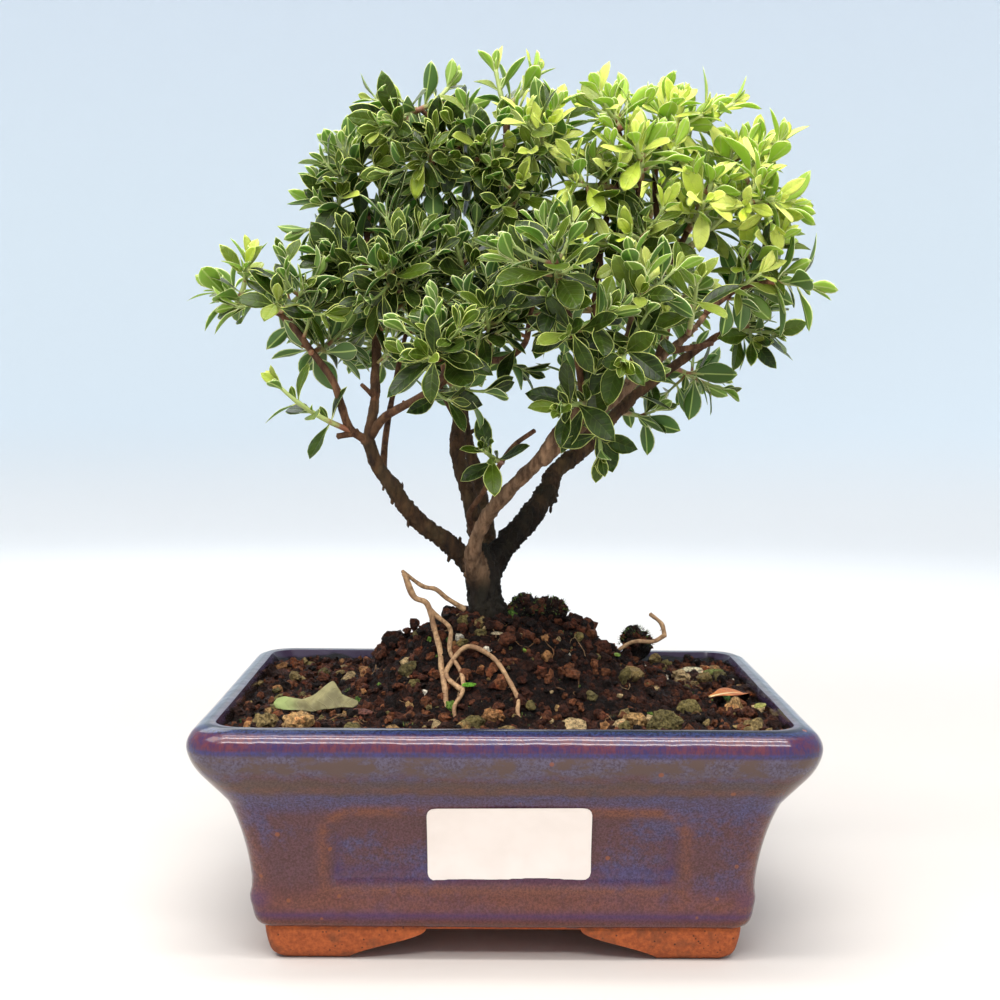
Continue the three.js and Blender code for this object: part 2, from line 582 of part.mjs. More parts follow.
const SHOOTS = {
  far_left: shoot('left_low', 1, [-74, -4, 164], 3, 12),
  left_sprig: shoot('far_left', 0.2, [-65, -9, 171], 2, 12),
  left_crest: shoot('left_low', 0.82, [-50, -20, 163], 2, 13),
  left_shoot: shoot('left_low', 0.12, [-55, -24, 139], 3, 11),
  left_inner: shoot('left_low', 0.55, [-43, 4, 153], 1, 13),
  left_tip: shoot('left_up', 1, [-40, 2, 200], 3, 12),
  left_shoulder: shoot('left_up', 0.84, [-49, 6, 187], 2, 14),
  left_side: shoot('left_up', 0.6, [-43, -12, 171], 3, 15),
  left_back: shoot('left_up', 0.72, [-30, 16, 180], 1, 14),
  left_fork: shoot('left_up', 0.4, [-21, -16, 178], 3, 13),
  left_fork_side: shoot('left_fork', 0.5, [-29, -28, 168], 2, 14),
  left_rosette: shoot('left_mid', 1, [-17, -42, 151], 3, 16),
  left_mid_tip: shoot('left_mid_fork', 1, [-4, -25, 157], 3, 13),
  rear_left_tip: shoot('left_rear', 1, [-26, 30, 173], 1, 14),
  rear_left_side: shoot('left_rear', 0.72, [-40, 28, 156], 1, 14),
  top_left_tip: shoot('top_left', 1, [-29, -4, 206], 3, 13),
  top_left_crest: shoot('top_left_tip', 0.1, [-15, 2, 217], 2, 12),
  top_left_low: shoot('top_left', 0.62, [-21, -15, 195], 2, 14),
  top_left_front: shoot('top_left', 0.3, [-7, -14, 199], 3, 14),
  apex: shoot('centre_limb', 1, [-3, 4, 222], 2, 12),
  apex_right: shoot('apex', 0.15, [7, 7, 221], 2, 11),
  crest_right: shoot('centre_limb', 0.88, [13, 0, 212], 2, 13),
  crest_front: shoot('crest_right', 0.3, [10, -14, 204], 2, 14),
  centre_top: shoot('centre_limb', 0.8, [3, -15, 190], 3, 14),
  centre_back: shoot('centre_limb', 0.7, [8, 24, 189], 1, 15),
  centre_left: shoot('centre_limb', 0.55, [-13, -12, 177], 3, 14),
  centre_left_side: shoot('centre_left', 0.4, [-20, -2, 163], 1, 14),
  centre_rosette: shoot('centre_front', 1, [7, -26, 171], 3, 14),
  front_rosette: shoot('front_up', 1, [10, -48, 170], 3, 16),
  front_up_side: shoot('front_up', 0.55, [23, -46, 157], 2, 14),
  right_mid_front: shoot('right_mid', 0.8, [17, -14, 190], 3, 13),
  right_mid_tip: shoot('right_mid', 1, [27, 0, 213], 3, 13),
  right_mid_side: shoot('right_mid', 0.45, [9, 8, 160], 1, 14),
  right_top_tip: shoot('right_top', 1, [34, -8, 201], 3, 14),
  right_out_tip: shoot('right_out', 1, [41, 6, 216], 2, 12),
  right_out_side: shoot('right_out_tip', 0.1, [53, 10, 213], 2, 12),
  right_out_front: shoot('right_out', 0.6, [31, -14, 178], 3, 14),
  right_far_tip: shoot('right_far', 1, [62, 12, 203], 2, 13),
  right_far_side: shoot('right_far', 0.5, [52, -8, 192], 3, 14),
  right_edge: shoot('right_far', 0.2, [70, -2, 203], 3, 14),
  right_edge_side: shoot('right_edge', 0.55, [67, -13, 187], 2, 14),
  right_shoulder: shoot('front_right', 1, [67, -5, 178], 3, 15),
  right_low_tip: shoot('right_low', 1, [77, -8, 166], 3, 15),
  right_low_side: shoot('right_limb', 1, [72, 14, 155], 1, 14),
  right_back: shoot('right_limb', 0.86, [57, 38, 141], 1, 14),
  right_back_low: shoot('right_limb', 0.72, [43, 40, 131], 1, 13),
  front_limb_tip: shoot('front_limb', 1, [33, -36, 167], 3, 14),
  front_limb_side: shoot('front_limb', 0.86, [27, -44, 146], 3, 14),
  front_low: shoot('front_limb', 0.6, [13, -40, 135], 3, 14),
  front_hanging: shoot('front_right', 0.25, [23, -30, 124], 2, 13),
  front_whorl: shoot('front_twig', 0.66, [-5, -26, 124], 2, 12),
  front_right_side: shoot('front_right', 0.78, [46, -27, 165], 2, 14),
  rear_top: shoot('rear_limb', 1, [-4, 36, 202], 1, 14),
  rear_side: shoot('rear_limb', 0.8, [-19, 51, 180], 1, 14),
  rear_left_low: shoot('rear_left', 1, [-27, 52, 160], 1, 14),
  rear_mid_tip: shoot('rear_mid', 1, [18, 52, 188], 1, 14),
  rear_right_tip: shoot('rear_right', 1, [45, 40, 202], 2, 14),
  rear_right_side: shoot('rear_right', 0.6, [54, 50, 168], 1, 14),
};

// Ways to bend a leaf clear of its neighbours: turn about the stem, lean from it, share of length.
const BENDS = [
  [0, 0, 1], [0.35, 0, 1], [-0.35, 0, 1], [0, -0.3, 1], [0, 0.3, 0.95], [0.6, -0.2, 0.9],
  [-0.6, -0.2, 0.9], [0.9, 0, 0.85], [-0.9, 0, 0.85], [0, -0.5, 0.75], [0.4, 0.4, 0.7],
];

const pointOf = (name, at) => {
  const item = LIMBS[name];
  return item ? smoothCurve(item.route).getPoint(at) : stemCurve(name).getPoint(at);
};

function stemCurve(name) {
  const { from, at, tip } = SHOOTS[name];
  const base = pointOf(from, at);
  const bend = new THREE.Vector3(
    0.4 * base.x + 0.6 * tip.x,
    0.4 * base.y + 0.6 * tip.y,
    0.65 * base.z + 0.35 * tip.z,
  );
  return new THREE.QuadraticBezierCurve3(base, bend, tip);
}

const hostOf = (name) => (SHOOTS[name] ? hostOf(SHOOTS[name].from) || name : null);

// The stem's curve lies in one plane, so this pair of directions stays square to it all along.
function acrossStem(curve, t) {
  const tangent = curve.getTangent(t).normalize();
  const chord = curve.v2.clone().sub(curve.v0);
  const level = curve.v1.clone().sub(curve.v0).cross(chord);
  if (level.length() < 0.02 * chord.lengthSq()) {
    level.set(0, 1, 0).cross(tangent);
  }
  level.normalize();
  return { tangent, first: level, second: tangent.clone().cross(level) };
}

const headingOf = (seed) => randomSource(seed)() * Math.PI;

function stemSolid(name, seed) {
  const curve = stemCurve(name);
  const { first, second } = acrossStem(curve, 0);
  const corner = headingOf(seed) + Math.PI / STEM_SIDES;
  const normal = first.multiplyScalar(Math.cos(corner)).addScaledVector(second, Math.sin(corner));
  return tube(curve, () => STEM_RADIUS, STEM_SIDES, STEM_STEPS, 0, normal);
}

// The leaf at one side of a stem, tilted from the stem's direction towards that side.
function leafAt(curve, t, turn, lean, length) {
  const { tangent, first, second } = acrossStem(curve, t);
  const outward = first.multiplyScalar(Math.cos(turn)).addScaledVector(second, Math.sin(turn));
  const direction = tangent.clone().multiplyScalar(Math.cos(lean))
    .addScaledVector(outward, Math.sin(lean));
  const face = tangent.multiplyScalar(Math.sin(lean)).addScaledVector(outward, -Math.cos(lean));
  face.z += FACE_UP;
  face.addScaledVector(direction, -face.dot(direction)).normalize();
  return { base: curve.getPoint(t), direction, face, length, width: length * BLADE_WIDTH_RATIO };
}

// Where each leaf of a shoot wants to be: the end pair, then crossed pairs further down.
function leafWishes(name, seed) {
  const { pairs, leaf } = SHOOTS[name];
  const curve = stemCurve(name);
  const random = randomSource(seed);
  const reach = curve.getLength();
  const spacing = Math.min(NODE_SPACING, (reach - END_PAIR) / (pairs + 0.6));
  const heading = random() * Math.PI;
  const wishes = [];
  for (let pair = 0; pair <= pairs; pair += 1) {
    const t = Math.max(1 - (END_PAIR + pair * spacing) / reach, 0.1);
    const length = leaf * PAIR_SHARES[pair];
    for (let sideOfStem = 0; sideOfStem < 2; sideOfStem += 1) {
      const turn = heading + pair * (Math.PI / 2) + sideOfStem * Math.PI + 0.5 * (random() - 0.5);
      wishes.push({
        t,
        turn,
        lean: PAIR_LEANS[pair] + 0.3 * (random() - 0.5),
        length: length * (0.9 + 0.2 * random()),
      });
    }
  }
  return { curve, wishes };
}

const boxOf = (solid) => {
  const { min, max } = solid.boundingBox();
  return new THREE.Box3(vector(min), vector(max));
};

const SHOOT_NAMES = Object.keys(SHOOTS);

// The blade beyond its root, which must stay clear of the other leaves of its own shoot.
function coreOf(leaf) {
  const base = leaf.base.clone().addScaledVector(leaf.direction, BLADE_CLEAR);
  return bladeSolid({ ...leaf, base, length: leaf.length - BLADE_CLEAR });
}

function buildFoliage(woodRoom) {
  const taken = [{ host: '', box: boxOf(woodRoom), solid: woodRoom }];
  const meets = (one, other) => one.box.intersectsBox(other.box)
    && !one.solid.intersect(other.solid).isEmpty();
  const entry = (host, solid, core) => ({ host, box: boxOf(solid), solid, core });
  const isClear = (host, leaf) => {
    const grown = entry(host, bladeSolid(leaf, GAP));
    const core = { box: grown.box, solid: coreOf(leaf) };
    return taken.every((other) => {
      if (other.host !== host) {
        return !meets(grown, other);
      }
      return !other.core || !meets(core, { box: other.box, solid: other.core });
    });
  };
  const pieces = {};
  SHOOT_NAMES.forEach((name, number) => {
    const host = hostOf(name);
    const stem = stemSolid(name, number + 1).subtract(woodRoom);
    taken.push(entry(host, stem));
    pieces[host] = [...(pieces[host] || []), stem];
  });
  SHOOT_NAMES.forEach((name, number) => {
    const host = hostOf(name);
    const { curve, wishes } = leafWishes(name, number + 1);
    wishes.forEach(({ t, turn, lean, length }) => {
      const choices = BENDS.map(([spin, tilt, share]) => (
        leafAt(curve, t, turn + spin, lean + tilt, length * share)));
      const leaf = choices.find((choice) => isClear(host, choice));
      if (leaf) {
        const blade = bladeSolid(leaf);
        taken.push(entry(host, blade, coreOf(leaf)));
        pieces[host].push(blade);
      }
    });
  });
  return Object.entries(pieces).map(([host, solids]) => [host, unite(solids)]);
}

// ---------------------------------------------------------------- assembly
const group = new THREE.Group();
const FINISHES = {
  glaze: { color: 0x2f3468, roughness: 0.18, metalness: 0 },
  soil: { color: 0x3a241c, roughness: 0.95, metalness: 0 },
  bark: { color: 0x5d4030, roughness: 0.9, metalness: 0 },
  root: { color: 0xa98a66, roughness: 0.8, metalness: 0 },
  leaf: { color: 0x3f7d2c, roughness: 0.45, metalness: 0 },
  dryLeaf: { color: 0x9a7a45, roughness: 0.8, metalness: 0 },
  label: { color: 0xf1efe9, roughness: 0.6, metalness: 0 },
  screen: { color: 0x2b2b2b, roughness: 0.6, metalness: 0 },
};

function addPiece(name, solid, finish) {
  const mesh = new THREE.Mesh(geometryOf(solid), new THREE.MeshStandardMaterial(FINISHES[finish]));
  mesh.name = name;
  group.add(mesh);
}

// A leaf fallen on the soil, tilted towards the front, with its keel resting in the soil.
function fallenLeaf([x, y], heading, length, tilt) {
  const width = length * FALLEN_WIDTH_RATIO;
  const propped = BLADE_DEPTH / 2 + FALLEN_LIFT * width * Math.sin(tilt);
  const start = moundHeight(x, y) + propped;
  const end = moundHeight(x + length * Math.cos(heading), y + length * Math.sin(heading));
  const rise = end + propped + BLADE_ARCH * length - start;
  const direction = new THREE.Vector3(Math.cos(heading), Math.sin(heading), rise / length);
  direction.normalize();
  const face = new THREE.Vector3(0, -Math.sin(tilt), Math.cos(tilt));
  face.addScaledVector(direction, -face.dot(direction)).normalize();
  return { base: new THREE.Vector3(x, y, start), direction, face, length, width };
}

const FALLEN = {
  fallen_leaf_left: fallenLeaf([-60, -26], 0.05, 23, 0.8),
  fallen_leaf_right: fallenLeaf([54, -16], 0.7, 18, 0.5),
};

const wood = buildWood();
const woodRoom = buildWood(GAP);
const rootNames = Object.keys(ROOTS);
const rootRoom = unite(rootNames.map((name) => rootTubes(name, GAP)));
const fallenRoom = unite(Object.values(FALLEN).map((leaf) => bladeSolid(leaf, GAP)));
const soil = buildSoil(woodRoom, rootRoom).subtract(fallenRoom);

addPiece('pot', buildPot(), 'glaze');
addPiece('drain_screen_left', buildScreen(-DRAIN_X), 'screen');
addPiece('drain_screen_right', buildScreen(DRAIN_X), 'screen');
addPiece('label', buildLabel(), 'label');
addPiece('soil', soil, 'soil');
addPiece('trunk_and_limbs', wood, 'bark');
rootNames.forEach((name) => addPiece(name, rootTubes(name).subtract(woodRoom), 'root'));
Object.entries(FALLEN).forEach(([name, leaf]) => addPiece(name, bladeSolid(leaf), 'dryLeaf'));
buildFoliage(woodRoom).forEach(([name, solid]) => addPiece(`leaves_${name}`, solid, 'leaf'));

const bounds = new THREE.Box3().setFromObject(group);
const centre = bounds.getCenter(new THREE.Vector3());
group.position.set(-centre.x, -centre.y, -bounds.min.z);

export default group;
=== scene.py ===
# Serissa bonsai in its glazed pot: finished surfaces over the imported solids.
import math
import random

import bmesh
import bpy
import numpy as np
from mathutils import Matrix, Vector, kdtree, noise


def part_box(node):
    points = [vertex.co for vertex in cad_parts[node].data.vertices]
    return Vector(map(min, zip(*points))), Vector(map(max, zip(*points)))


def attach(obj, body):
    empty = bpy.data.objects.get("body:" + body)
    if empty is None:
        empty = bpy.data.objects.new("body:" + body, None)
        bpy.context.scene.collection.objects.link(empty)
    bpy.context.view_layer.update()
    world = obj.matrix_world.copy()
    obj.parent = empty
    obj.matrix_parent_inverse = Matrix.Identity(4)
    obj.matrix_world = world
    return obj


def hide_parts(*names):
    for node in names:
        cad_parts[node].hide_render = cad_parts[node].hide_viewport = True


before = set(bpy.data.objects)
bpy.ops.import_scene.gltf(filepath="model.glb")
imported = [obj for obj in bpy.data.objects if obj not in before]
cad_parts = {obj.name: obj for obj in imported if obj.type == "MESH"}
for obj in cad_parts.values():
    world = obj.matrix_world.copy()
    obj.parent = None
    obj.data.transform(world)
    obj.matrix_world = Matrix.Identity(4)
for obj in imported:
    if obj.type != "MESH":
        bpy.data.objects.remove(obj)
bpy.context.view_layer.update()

# Blender seeds noise_vector by the clock unless a seed is set.
NOISE_SEED = 1
noise.seed_set(NOISE_SEED)

# Lengths are in millimetres in the pot's own frame, whose origin is the centre of the pot's plan on
# the plane of its feet. X runs along the pot, Y from its labelled front to its back, Z up.
MM = 0.001
POT_LOW, POT_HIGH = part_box("pot")
POT_CENTRE = np.array([(POT_LOW.x + POT_HIGH.x) / 2, (POT_LOW.y + POT_HIGH.y) / 2, 0.0])

# ---------------------------------------------------------------- driving dimensions
RIM_LENGTH = 152
RIM_WIDTH = 126
RIM_CORNER = 9.5
CORNER_TAPER = 0.33
FLOOR_TOP = 13
FOOT_HEIGHT = 9
FOOT_WALL = 8
FOOT_INSET = 17.1
ARCH_TOP = 0.93 * FOOT_HEIGHT
FRONT_ARCH = (38, 19)
SIDE_ARCH = (24, 12)
DRAIN_RADIUS = 7
DRAIN_X = 27
PANEL_DEPTH = 1.2
PANEL_LOW = 20
PANEL_HIGH = 38.5
PANEL_HALF = 43
PANEL_CORNER = 7
LABEL_SIZE = (39.7, 19.4)
LABEL_CENTRE = (1.2, 31)
LABEL_CORNER = 2.0
LABEL_TILT = 0.01
LABEL_BEND = (26, 39)
SOIL_LEVEL = 57.6
SOIL_SLOPE = 0.02
SOIL_INSET = 0.15
MOUND_RISE = 21.5
MOUND_CENTRE = (-2.4, -0.1)
MOUND_LEFT = 39
MOUND_RIGHT = 49
MOUND_DEPTH = 35
MOUND_SHOULDER = 0.25
ROOT_BALL = (-24, 2, 1, 16)
PLANT_SCALE = 1.026
PLANT_SHIFT = np.array([-0.3, -4.2, -1.9])

# Profiles of the pot: how far inside the rim's outline, and the height.
OUTER_PROFILE = [
    (18.6, 8.2), (15.6, 9.6), (14.4, 12.5), (14.4, 17), (13.3, 26), (11.5, 34), (9.4, 40),
    (7.9, 42.4), (5.0, 46), (2.5, 49.2), (0.9, 52.2), (0.1, 55.2), (0.5, 57.6), (2.0, 59.6),
    (4.6, 60.7),
]
INNER_PROFILE = [
    (6.3, 60.5), (7.4, 57.6), (9.0, 52.5), (12.2, 47.5), (16.0, 40), (18.3, 28), (19.5, FLOOR_TOP),
]
FOOT_PROFILE = [(20.6, 0), (18.6, 1.6), (17.6, 4.5), (17.1, 7.4), (17.1, FOOT_HEIGHT)]

# On the soil: place, how proud it stands and half sizes, or place and radius.
CLUMPS = [
    (6, -2, 3.2, (5.2, 5, 5.4)), (13, 0, 3.4, (4.6, 4.6, 4.6)), (37, 10, 7.8, (4.8, 4.6, 5.4)),
]
PEBBLES = [
    (-50, -47, 3.2), (-58, -51, 2.6), (-8, -46, 2.6), (-3, -39, 2.4), (16, -49, 2.8),
    (39, -46, 3.2), (32, -41, 2.6), (60, -50, 2.6), (48, -22, 2.4), (-18, 30, 2.8), (52, 28, 2.6),
]
PEAT_LUMPS = [(20, 1, 4.2), (-30, 0, 5.5), (-13, 5, 4.0)]

# Trunk and limbs: radius at the start, radius at the end, and the points of the route.
TRUNK_ROUTE = [[-4, 0, 60], [-4, 0, 74], [-4, 0, 80], [-5, 0, 86], [-6, 0, 92], [-6, 1, 97]]
TRUNK_RADII = [3.2, 5.4, 5.2, 4.5, 4.5, 3.7]
LIMBS = {
    "left_limb": (2.8, 1.7, [[-6, 0, 90], [-11, -1, 96], [-17, -3, 101], [-22, -5, 105],
        [-26, -7, 110], [-29, -9, 115], [-32, -10, 119], [-35, -12, 127]]),
    "left_low": (1.2, 0.7, [[-35, -12, 126], [-39, -14, 129], [-41, -16, 135], [-43, -17, 141],
        [-49, -16, 149], [-53, -14, 154], [-59, -10, 159], [-66, -6, 161]]),
    "left_stub": (1.1, 0.8, [[-37, -13, 128], [-42, -15, 127]]),
    "left_up": (1.5, 0.7, [[-35, -12, 125], [-33, -12, 135], [-33, -10, 143], [-33, -6, 155],
        [-36, -2, 167], [-36, 0, 176], [-36, 1, 184], [-39, 2, 193]]),
    "left_spike": (0.8, 0.5, [[-33, -12, 137], [-36, -15, 140]]),
    "left_mid": (1.3, 0.7, [[-34, -12, 127], [-30, -16, 132], [-21, -23, 137], [-16, -30, 141],
        [-14, -36, 145]]),
    "left_mid_fork": (0.9, 0.6, [[-19, -26, 138], [-12, -27, 143], [-7, -24, 147], [-4, -22, 151]]),
    "left_rear": (1.0, 0.6, [[-31, -9, 117], [-31, 0, 126], [-30, 10, 136], [-28, 20, 149],
        [-25, 26, 163]]),
    "centre_limb": (2.4, 0.9, [[-6, 1, 92], [-7, 2, 101], [-9, 3, 111], [-12, 5, 121],
        [-12, 7, 131], [-11, 7, 139], [-7, 8, 148], [-1, 8, 156], [-1, 8, 166], [0, 8, 177],
        [1, 7, 187], [0, 5, 199], [0, 4, 211]]),
    "centre_front": (1.0, 0.6, [[-7, 8, 147], [0, -2, 147], [5, -10, 151], [6, -17, 158],
        [8, -20, 164]]),
    "top_left": (1.1, 0.6, [[0, 6, 187], [-4, 4, 193], [-9, 2, 198], [-16, -2, 205],
        [-22, -4, 210]]),
    "front_limb": (2.2, 0.9, [[-7, -1, 86], [-8, -6, 97], [-3, -13, 109], [7, -19, 120],
        [15, -23, 131], [22, -25, 137], [26, -27, 143], [29, -30, 151], [30, -32, 158]]),
    "front_up": (1.0, 0.6, [[19, -25, 135], [18, -28, 142], [16, -33, 151], [14, -38, 158],
        [12, -43, 164]]),
    "front_right": (1.7, 0.7, [[9, -20, 121], [20, -19, 131], [30, -16, 139], [40, -12, 148],
        [47, -9, 154], [54, -5, 162]]),
    "right_stub": (1.0, 0.6, [[41, -12, 149], [47, -13, 150], [52, -14, 151]]),
    "right_low": (0.9, 0.6, [[51, -7, 159], [59, -8, 165], [67, -8, 167]]),
    "right_out": (1.2, 0.7, [[38, -13, 146], [41, -8, 155], [40, -3, 164], [40, 3, 176],
        [39, 6, 194], [40, 6, 206]]),
    "right_far": (1.0, 0.6, [[40, -1, 169], [45, 3, 176], [50, 6, 186], [54, 9, 194]]),
    "right_limb": (3.8, 1.0, [[-5, 1, 88], [-2, 4, 95], [6, 8, 104], [12, 12, 112], [14, 15, 117],
        [24, 20, 125], [34, 23, 136], [48, 24, 147], [61, 22, 156]]),
    "right_mid": (1.6, 0.7, [[21, 19, 122], [23, 16, 132], [21, 13, 142], [23, 9, 153],
        [24, 6, 165], [25, 4, 178], [27, 2, 187], [30, 1, 198], [29, 0, 206]]),
    "right_top": (0.9, 0.6, [[25, 4, 178], [30, 2, 181], [33, -2, 186], [34, -5, 193]]),
    "front_twig": (0.8, 0.6, [[-8, 0, 102], [-9, -5, 107], [-6, -11, 112], [-2, -15, 119],
        [2, -20, 125], [7, -26, 129]]),
    "rear_limb": (2.4, 0.9, [[-5, 3, 90], [-4, 13, 100], [-7, 24, 114], [-11, 32, 130],
        [-12, 38, 149], [-10, 42, 169], [-7, 40, 187]]),
    "rear_left": (1.0, 0.6, [[-11, 31, 127], [-18, 38, 140], [-22, 44, 152]]),
    "rear_right": (1.3, 0.7, [[30, 22, 131], [35, 32, 141], [38, 40, 155], [41, 44, 172],
        [41, 42, 188]]),
    "rear_mid": (1.0, 0.6, [[-12, 38, 149], [2, 46, 161], [12, 50, 175]]),
}
ROOTS = {
    "surface_roots_left": [
        (0.75, 0.5, [[-10, -3.5, 82], [-14.5, -5, 85], [-17.5, -6, 87.5], [-21, -7, 88.5],
            [-26, -9, 92.5]]),
        (0.8, 0.7, [[-25.5, -9, 92], [-23, -9, 86], [-19.5, -9, 84], [-17.5, -10.5, 77.5],
            [-16, -15, 73], [-15.5, -19, 69], [-14.5, -24, 65], [-14, -27.5, 60.5]]),
        (0.65, 0.5, [[-19.5, -9, 83.5], [-17, -9.5, 81], [-13.5, -11.5, 78], [-13.5, -16, 73],
            [-10.5, -21.5, 68.5], [-10, -27, 65], [-12, -29.5, 61.5], [-11.5, -31.5, 58]]),
        (0.65, 0.55, [[-10.2, -26.5, 65], [-14, -22, 67.5], [-13.5, -19, 70], [-9, -17.5, 74.5],
            [-2.5, -20, 72], [1.5, -25, 67], [3.5, -29.5, 63.5], [3.5, -33, 60.5], [6, -36, 56.5]]),
    ],
    "surface_root_right": [
        (0.5, 0.65, [[29, 4, 69], [34.5, 4, 72.5], [40, 5, 72.5], [43.5, 6, 74.2]]),
        (0.65, 0.55, [[43.3, 6, 73.8], [42.5, 7, 77], [39.5, 8, 79.5]]),
    ],
}
# Shoots: what each grows from and where along it, its tip, its pairs of leaves, their length.
SHOOTS = {
    "far_left": ("left_low", 1, [-74, -4, 164], 3, 12),
    "left_sprig": ("far_left", 0.2, [-65, -9, 171], 2, 12),
    "left_crest": ("left_low", 0.82, [-50, -20, 163], 2, 13),
    "left_shoot": ("left_low", 0.12, [-55, -24, 139], 3, 11),
    "left_inner": ("left_low", 0.55, [-43, 4, 153], 2, 13),
    "left_tip": ("left_up", 1, [-40, 2, 200], 3, 12),
    "left_shoulder": ("left_up", 0.84, [-49, 6, 187], 2, 14),
    "left_side": ("left_up", 0.6, [-43, -12, 171], 3, 15),
    "left_back": ("left_up", 0.72, [-30, 16, 180], 2, 14),
    "left_fork": ("left_up", 0.4, [-21, -16, 178], 3, 13),
    "left_fork_side": ("left_fork", 0.5, [-29, -28, 168], 2, 14),
    "left_rosette": ("left_mid", 1, [-17, -42, 151], 3, 16),
    "left_mid_tip": ("left_mid_fork", 1, [-4, -25, 157], 3, 13),
    "rear_left_tip": ("left_rear", 1, [-26, 30, 173], 2, 14),
    "rear_left_side": ("left_rear", 0.72, [-40, 28, 156], 2, 14),
    "top_left_tip": ("top_left", 1, [-29, -4, 206], 3, 13),
    "top_left_crest": ("top_left_tip", 0.1, [-15, 2, 217], 2, 12),
    "top_left_low": ("top_left", 0.62, [-21, -15, 195], 2, 14),
    "top_left_front": ("top_left", 0.3, [-7, -14, 199], 3, 14),
    "apex": ("centre_limb", 1, [-3, 4, 222], 2, 12),
    "apex_right": ("apex", 0.15, [7, 7, 221], 2, 11),
    "crest_right": ("centre_limb", 0.88, [13, 0, 212], 2, 13),
    "crest_front": ("crest_right", 0.3, [10, -14, 204], 2, 14),
    "centre_top": ("centre_limb", 0.8, [3, -15, 190], 3, 14),
    "centre_back": ("centre_limb", 0.7, [8, 24, 189], 2, 15),
    "centre_left": ("centre_limb", 0.55, [-13, -12, 177], 3, 14),
    "centre_left_side": ("centre_left", 0.4, [-20, -2, 163], 2, 14),
    "centre_rosette": ("centre_front", 1, [7, -26, 171], 3, 14),
    "front_rosette": ("front_up", 1, [10, -48, 170], 3, 16),
    "front_up_side": ("front_up", 0.55, [23, -46, 157], 2, 14),
    "right_mid_front": ("right_mid", 0.8, [17, -14, 190], 3, 13),
    "right_mid_tip": ("right_mid", 1, [27, 0, 213], 3, 13),
    "right_mid_side": ("right_mid", 0.45, [9, 8, 160], 2, 14),
    "right_top_tip": ("right_top", 1, [34, -8, 201], 3, 14),
    "right_out_tip": ("right_out", 1, [41, 6, 216], 2, 12),
    "right_out_side": ("right_out_tip", 0.1, [53, 10, 213], 2, 12),
    "right_out_front": ("right_out", 0.6, [31, -14, 178], 3, 14),
    "right_far_tip": ("right_far", 1, [62, 12, 203], 2, 13),
    "right_far_side": ("right_far", 0.5, [52, -8, 192], 3, 14),
    "right_edge": ("right_far", 0.2, [70, -2, 203], 3, 14),
    "right_edge_side": ("right_edge", 0.55, [67, -13, 187], 2, 14),
    "right_shoulder": ("front_right", 1, [67, -5, 178], 3, 15),
    "right_low_tip": ("right_low", 1, [77, -8, 166], 3, 15),
    "right_low_side": ("right_limb", 1, [72, 14, 155], 2, 14),
    "right_back": ("right_limb", 0.86, [57, 38, 141], 2, 14),
    "right_back_low": ("right_limb", 0.72, [43, 40, 131], 2, 13),
    "front_limb_tip": ("front_limb", 1, [33, -36, 167], 3, 14),
    "front_limb_side": ("front_limb", 0.86, [27, -44, 146], 3, 14),
    "front_low": ("front_limb", 0.6, [13, -40, 135], 3, 14),
    "front_hanging": ("front_right", 0.25, [23, -30, 124], 2, 13),
    "front_whorl": ("front_twig", 0.66, [-5, -26, 124], 2, 12),
    "front_right_side": ("front_right", 0.78, [46, -27, 165], 2, 14),
    "rear_top": ("rear_limb", 1, [-4, 36, 202], 2, 14),
    "rear_side": ("rear_limb", 0.8, [-19, 51, 180], 2, 14),
    "rear_left_low": ("rear_left", 1, [-27, 52, 160], 2, 14),
    "rear_mid_tip": ("rear_mid", 1, [18, 52, 188], 2, 14),
    "rear_right_tip": ("rear_right", 1, [45, 40, 202], 2, 14),
    "rear_right_side": ("rear_right", 0.6, [54, 50, 168], 2, 14),
}


def planted(route):
    """Points of the tree's own tables, put in their place in the pot."""
    return [PLANT_SCALE * np.array(p, float) + PLANT_SHIFT for p in route]


TRUNK_ROUTE = planted(TRUNK_ROUTE)
LIMBS = {name: (start, end, planted(route)) for name, (start, end, route) in LIMBS.items()}
ROOTS = {node: [(start, end, planted(route)) for start, end, route in strands]
         for node, strands in ROOTS.items()}
SHOOTS = {name: (parent, at, planted([tip])[0], pairs, leaf)
          for name, (parent, at, tip, pairs, leaf) in SHOOTS.items()}


# ---------------------------------------------------------------- curves and draws
def smooth(t):
    """The smooth step from 0 to 1."""
    clipped = np.clip(t, 0, 1)
    return clipped * clipped * (3 - 2 * clipped)


def hump(value, middle, spread):
    """A bell curve that is 1 at its middle."""
    return np.exp(-((value - middle) / spread) ** 2)


def unit(v):
    return v / np.linalg.norm(v)


def turns(count):
    """Even angles round a circle."""
    return np.arange(count) / count * math.tau


def spread_over(values, count):
    """count numbers that run evenly through values."""
    return np.interp(np.linspace(0, 1, count), np.linspace(0, 1, len(values)), values)


def catmull_point(points, t):
    """A point of the uniform Catmull-Rom curve through points, t from 0 to 1."""
    last = len(points) - 1
    place = last * t
    k = min(int(math.floor(place)), last - 1)
    w = place - k
    p1, p2 = points[k], points[k + 1]
    p0 = points[k - 1] if k > 0 else 2 * points[0] - points[1]
    p3 = points[k + 2] if k + 2 <= last else 2 * points[last] - points[last - 1]
    m1, m2 = 0.5 * (p2 - p0), 0.5 * (p3 - p1)
    return (p1 + m1 * w + (3 * (p2 - p1) - 2 * m1 - m2) * w * w
            + (2 * (p1 - p2) + m1 + m2) * w * w * w)


def sampled(route, per_span):
    points = [np.array(p, float) for p in route]
    count = (len(points) - 1) * per_span
    return np.array([catmull_point(points, k / count) for k in range(count + 1)])


